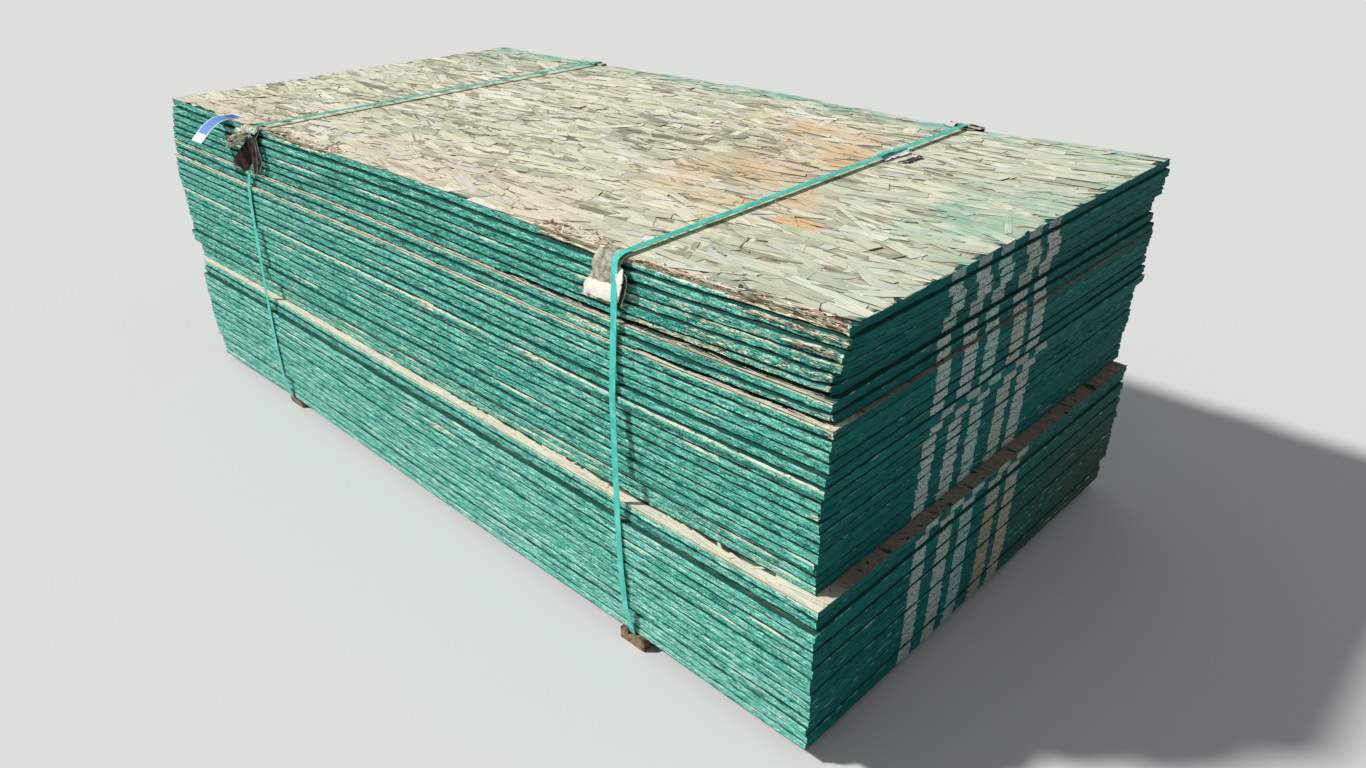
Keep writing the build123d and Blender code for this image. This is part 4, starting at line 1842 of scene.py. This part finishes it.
@dataclass(frozen=True)
class WeldFlakes:
    """Two flakes that the weld of the right strap has lifted off the top: a pale one, and a dark
    one beside it that is a painted shadow.
    """

    modeller: PlyModeller = PlyModeller(14.0, cuts=9)
    plies: tuple[Ply, ...] = (
        Ply(
            ((702, 264, 847), (708, 310, 849), (716, 358, 848)),
            ((738, 246, 842), (741, 300, 843), (744, 340, 842)),
            crumple=1.5, ragged=3.0, thickness=1.0,
        ),
        Ply(
            ((764, 252, 841), (768, 290, 842), (772, 335, 842)),
            ((784, 262, 844), (786, 300, 845), (784, 326, 844)),
            crumple=1.0, ragged=3.0, thickness=1.0, colour=Board.INNER,
        ),
    )

    def build(self) -> None:
        """Model each flake."""
        pale = GuardFinish("flake_pale", (0.55, 0.52, 0.50), (0.86, 0.84, 0.82)).material()
        # Painted shadow: the dark flake stands for the shadow beside the pale one.
        dark = GuardFinish("flake_shadow", (0.020, 0.014, 0.016), (0.085, 0.060, 0.062)).material()
        for number, ply in enumerate(self.plies):
            flake = self.modeller.model(number, ply, (pale, dark, pale))
            flake.name = f"weld_flake_{number + 1}"
            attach(flake, "root")
            log.info("%s: %d faces", flake.name, len(flake.data.polygons))


def dress_node(name: str, material: bpy.types.Material) -> None:
    """Give a CAD node one material.

    Args:
        name: The node's name.
        material: The material.
    """
    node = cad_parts[name]
    node.data.materials.clear()
    node.data.materials.append(material)
    log.info("%s: %s", name, material.name)


@dataclass(frozen=True)
class Studio:
    """Pale floor, soft key light from the front left, even fill, and the camera.

    The camera stands where the photograph was taken from. Its angles are in degrees.
    """

    floor_size: float = 60.0
    floor_colour: Colour = (0.64, 0.64, 0.62)
    key_energy: float = 3.95
    key_angle: float = 5.0
    key_from: Point = (-0.62, -0.55, 0.76)
    fill: float = 0.32
    sky: Colour = (0.90, 0.95, 1.0)
    camera_place: Point = (1.927834, -1.634475, 1.42787)
    azimuth: float = 44.419
    elevation: float = 27.812
    roll: float = -0.871
    focal_pixels: float = 974.309
    photo_width: float = 1366.0
    sensor_width: float = 36.0
    far_clip: float = 200.0

    def lay_floor(self) -> None:
        """Lay the floor, plain and pale."""
        deselect_all()
        bpy.ops.mesh.primitive_plane_add(size=self.floor_size, location=(0, 0, 0))
        floor = bpy.context.object
        floor.name = "studio_floor"
        floor.data.materials.append(NodeSheet("studio_floor").finish(self.floor_colour, 0.9, 0.0))

    def light(self) -> None:
        """Light with a soft sun and an even world, white where the camera looks past the floor."""
        lamp = bpy.data.lights.new("key", "SUN")
        lamp.energy = self.key_energy
        lamp.angle = math.radians(self.key_angle)
        key = link_object("key", lamp)
        key.rotation_euler = Vector(self.key_from).to_track_quat("Z", "Y").to_euler()
        world = bpy.data.worlds.new("studio")
        bpy.context.scene.world = world
        world.use_nodes = True
        nodes, links = world.node_tree.nodes, world.node_tree.links
        background = nodes["Background"]
        background.inputs["Color"].default_value = (*self.sky, 1.0)
        rays = nodes.new("ShaderNodeLightPath")
        seen = nodes.new("ShaderNodeMath")
        seen.operation = "MULTIPLY_ADD"
        links.new(rays.outputs["Is Camera Ray"], seen.inputs[0])
        seen.inputs[1].default_value = 1.0 - self.fill
        seen.inputs[2].default_value = self.fill
        links.new(seen.outputs[0], background.inputs["Strength"])

    def set_camera(self) -> None:
        """Put the camera where the photograph was taken from."""
        a, e, r = (math.radians(value) for value in (self.azimuth, self.elevation, self.roll))
        back = Vector((math.sin(a) * math.cos(e), -math.cos(a) * math.cos(e), math.sin(e)))
        right = (-back).cross(Vector((0, 0, 1))).normalized()
        up = right.cross(-back)
        right, up = right * math.cos(r) + up * math.sin(r), up * math.cos(r) - right * math.sin(r)
        camera = bpy.data.cameras.new("photo_camera")
        camera.sensor_width = self.sensor_width
        camera.lens = self.focal_pixels / self.photo_width * self.sensor_width
        camera.clip_end = self.far_clip
        view = link_object("photo_camera", camera)
        turn = Matrix((right, up, back)).transposed().to_4x4()
        view.matrix_world = Matrix.Translation(self.camera_place) @ turn
        bpy.context.scene.camera = view

    def build(self) -> None:
        """Set up floor, lights, camera and plain colour handling."""
        self.lay_floor()
        self.light()
        self.set_camera()
        bpy.context.scene.view_settings.view_transform = "Standard"


def main() -> None:
    """Build the unit's looks in order."""
    logging.basicConfig(level=logging.INFO, format="%(name)s: %(message)s")
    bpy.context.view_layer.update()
    Studio().build()
    stack = PanelStack()
    stack.build()
    LooseStrands(stack.places).build()
    build_guards()
    WeldFlakes().build()
    strap, wood = StrapFinish().material(), RunnerFinish().material()
    for name in ("left", "right"):
        dress_node(f"strap_{name}", strap)
        dress_node(f"runner_{name}", wood)
    dress_node("tag", TagFinish().material())


if __name__ == "__main__":
    main()
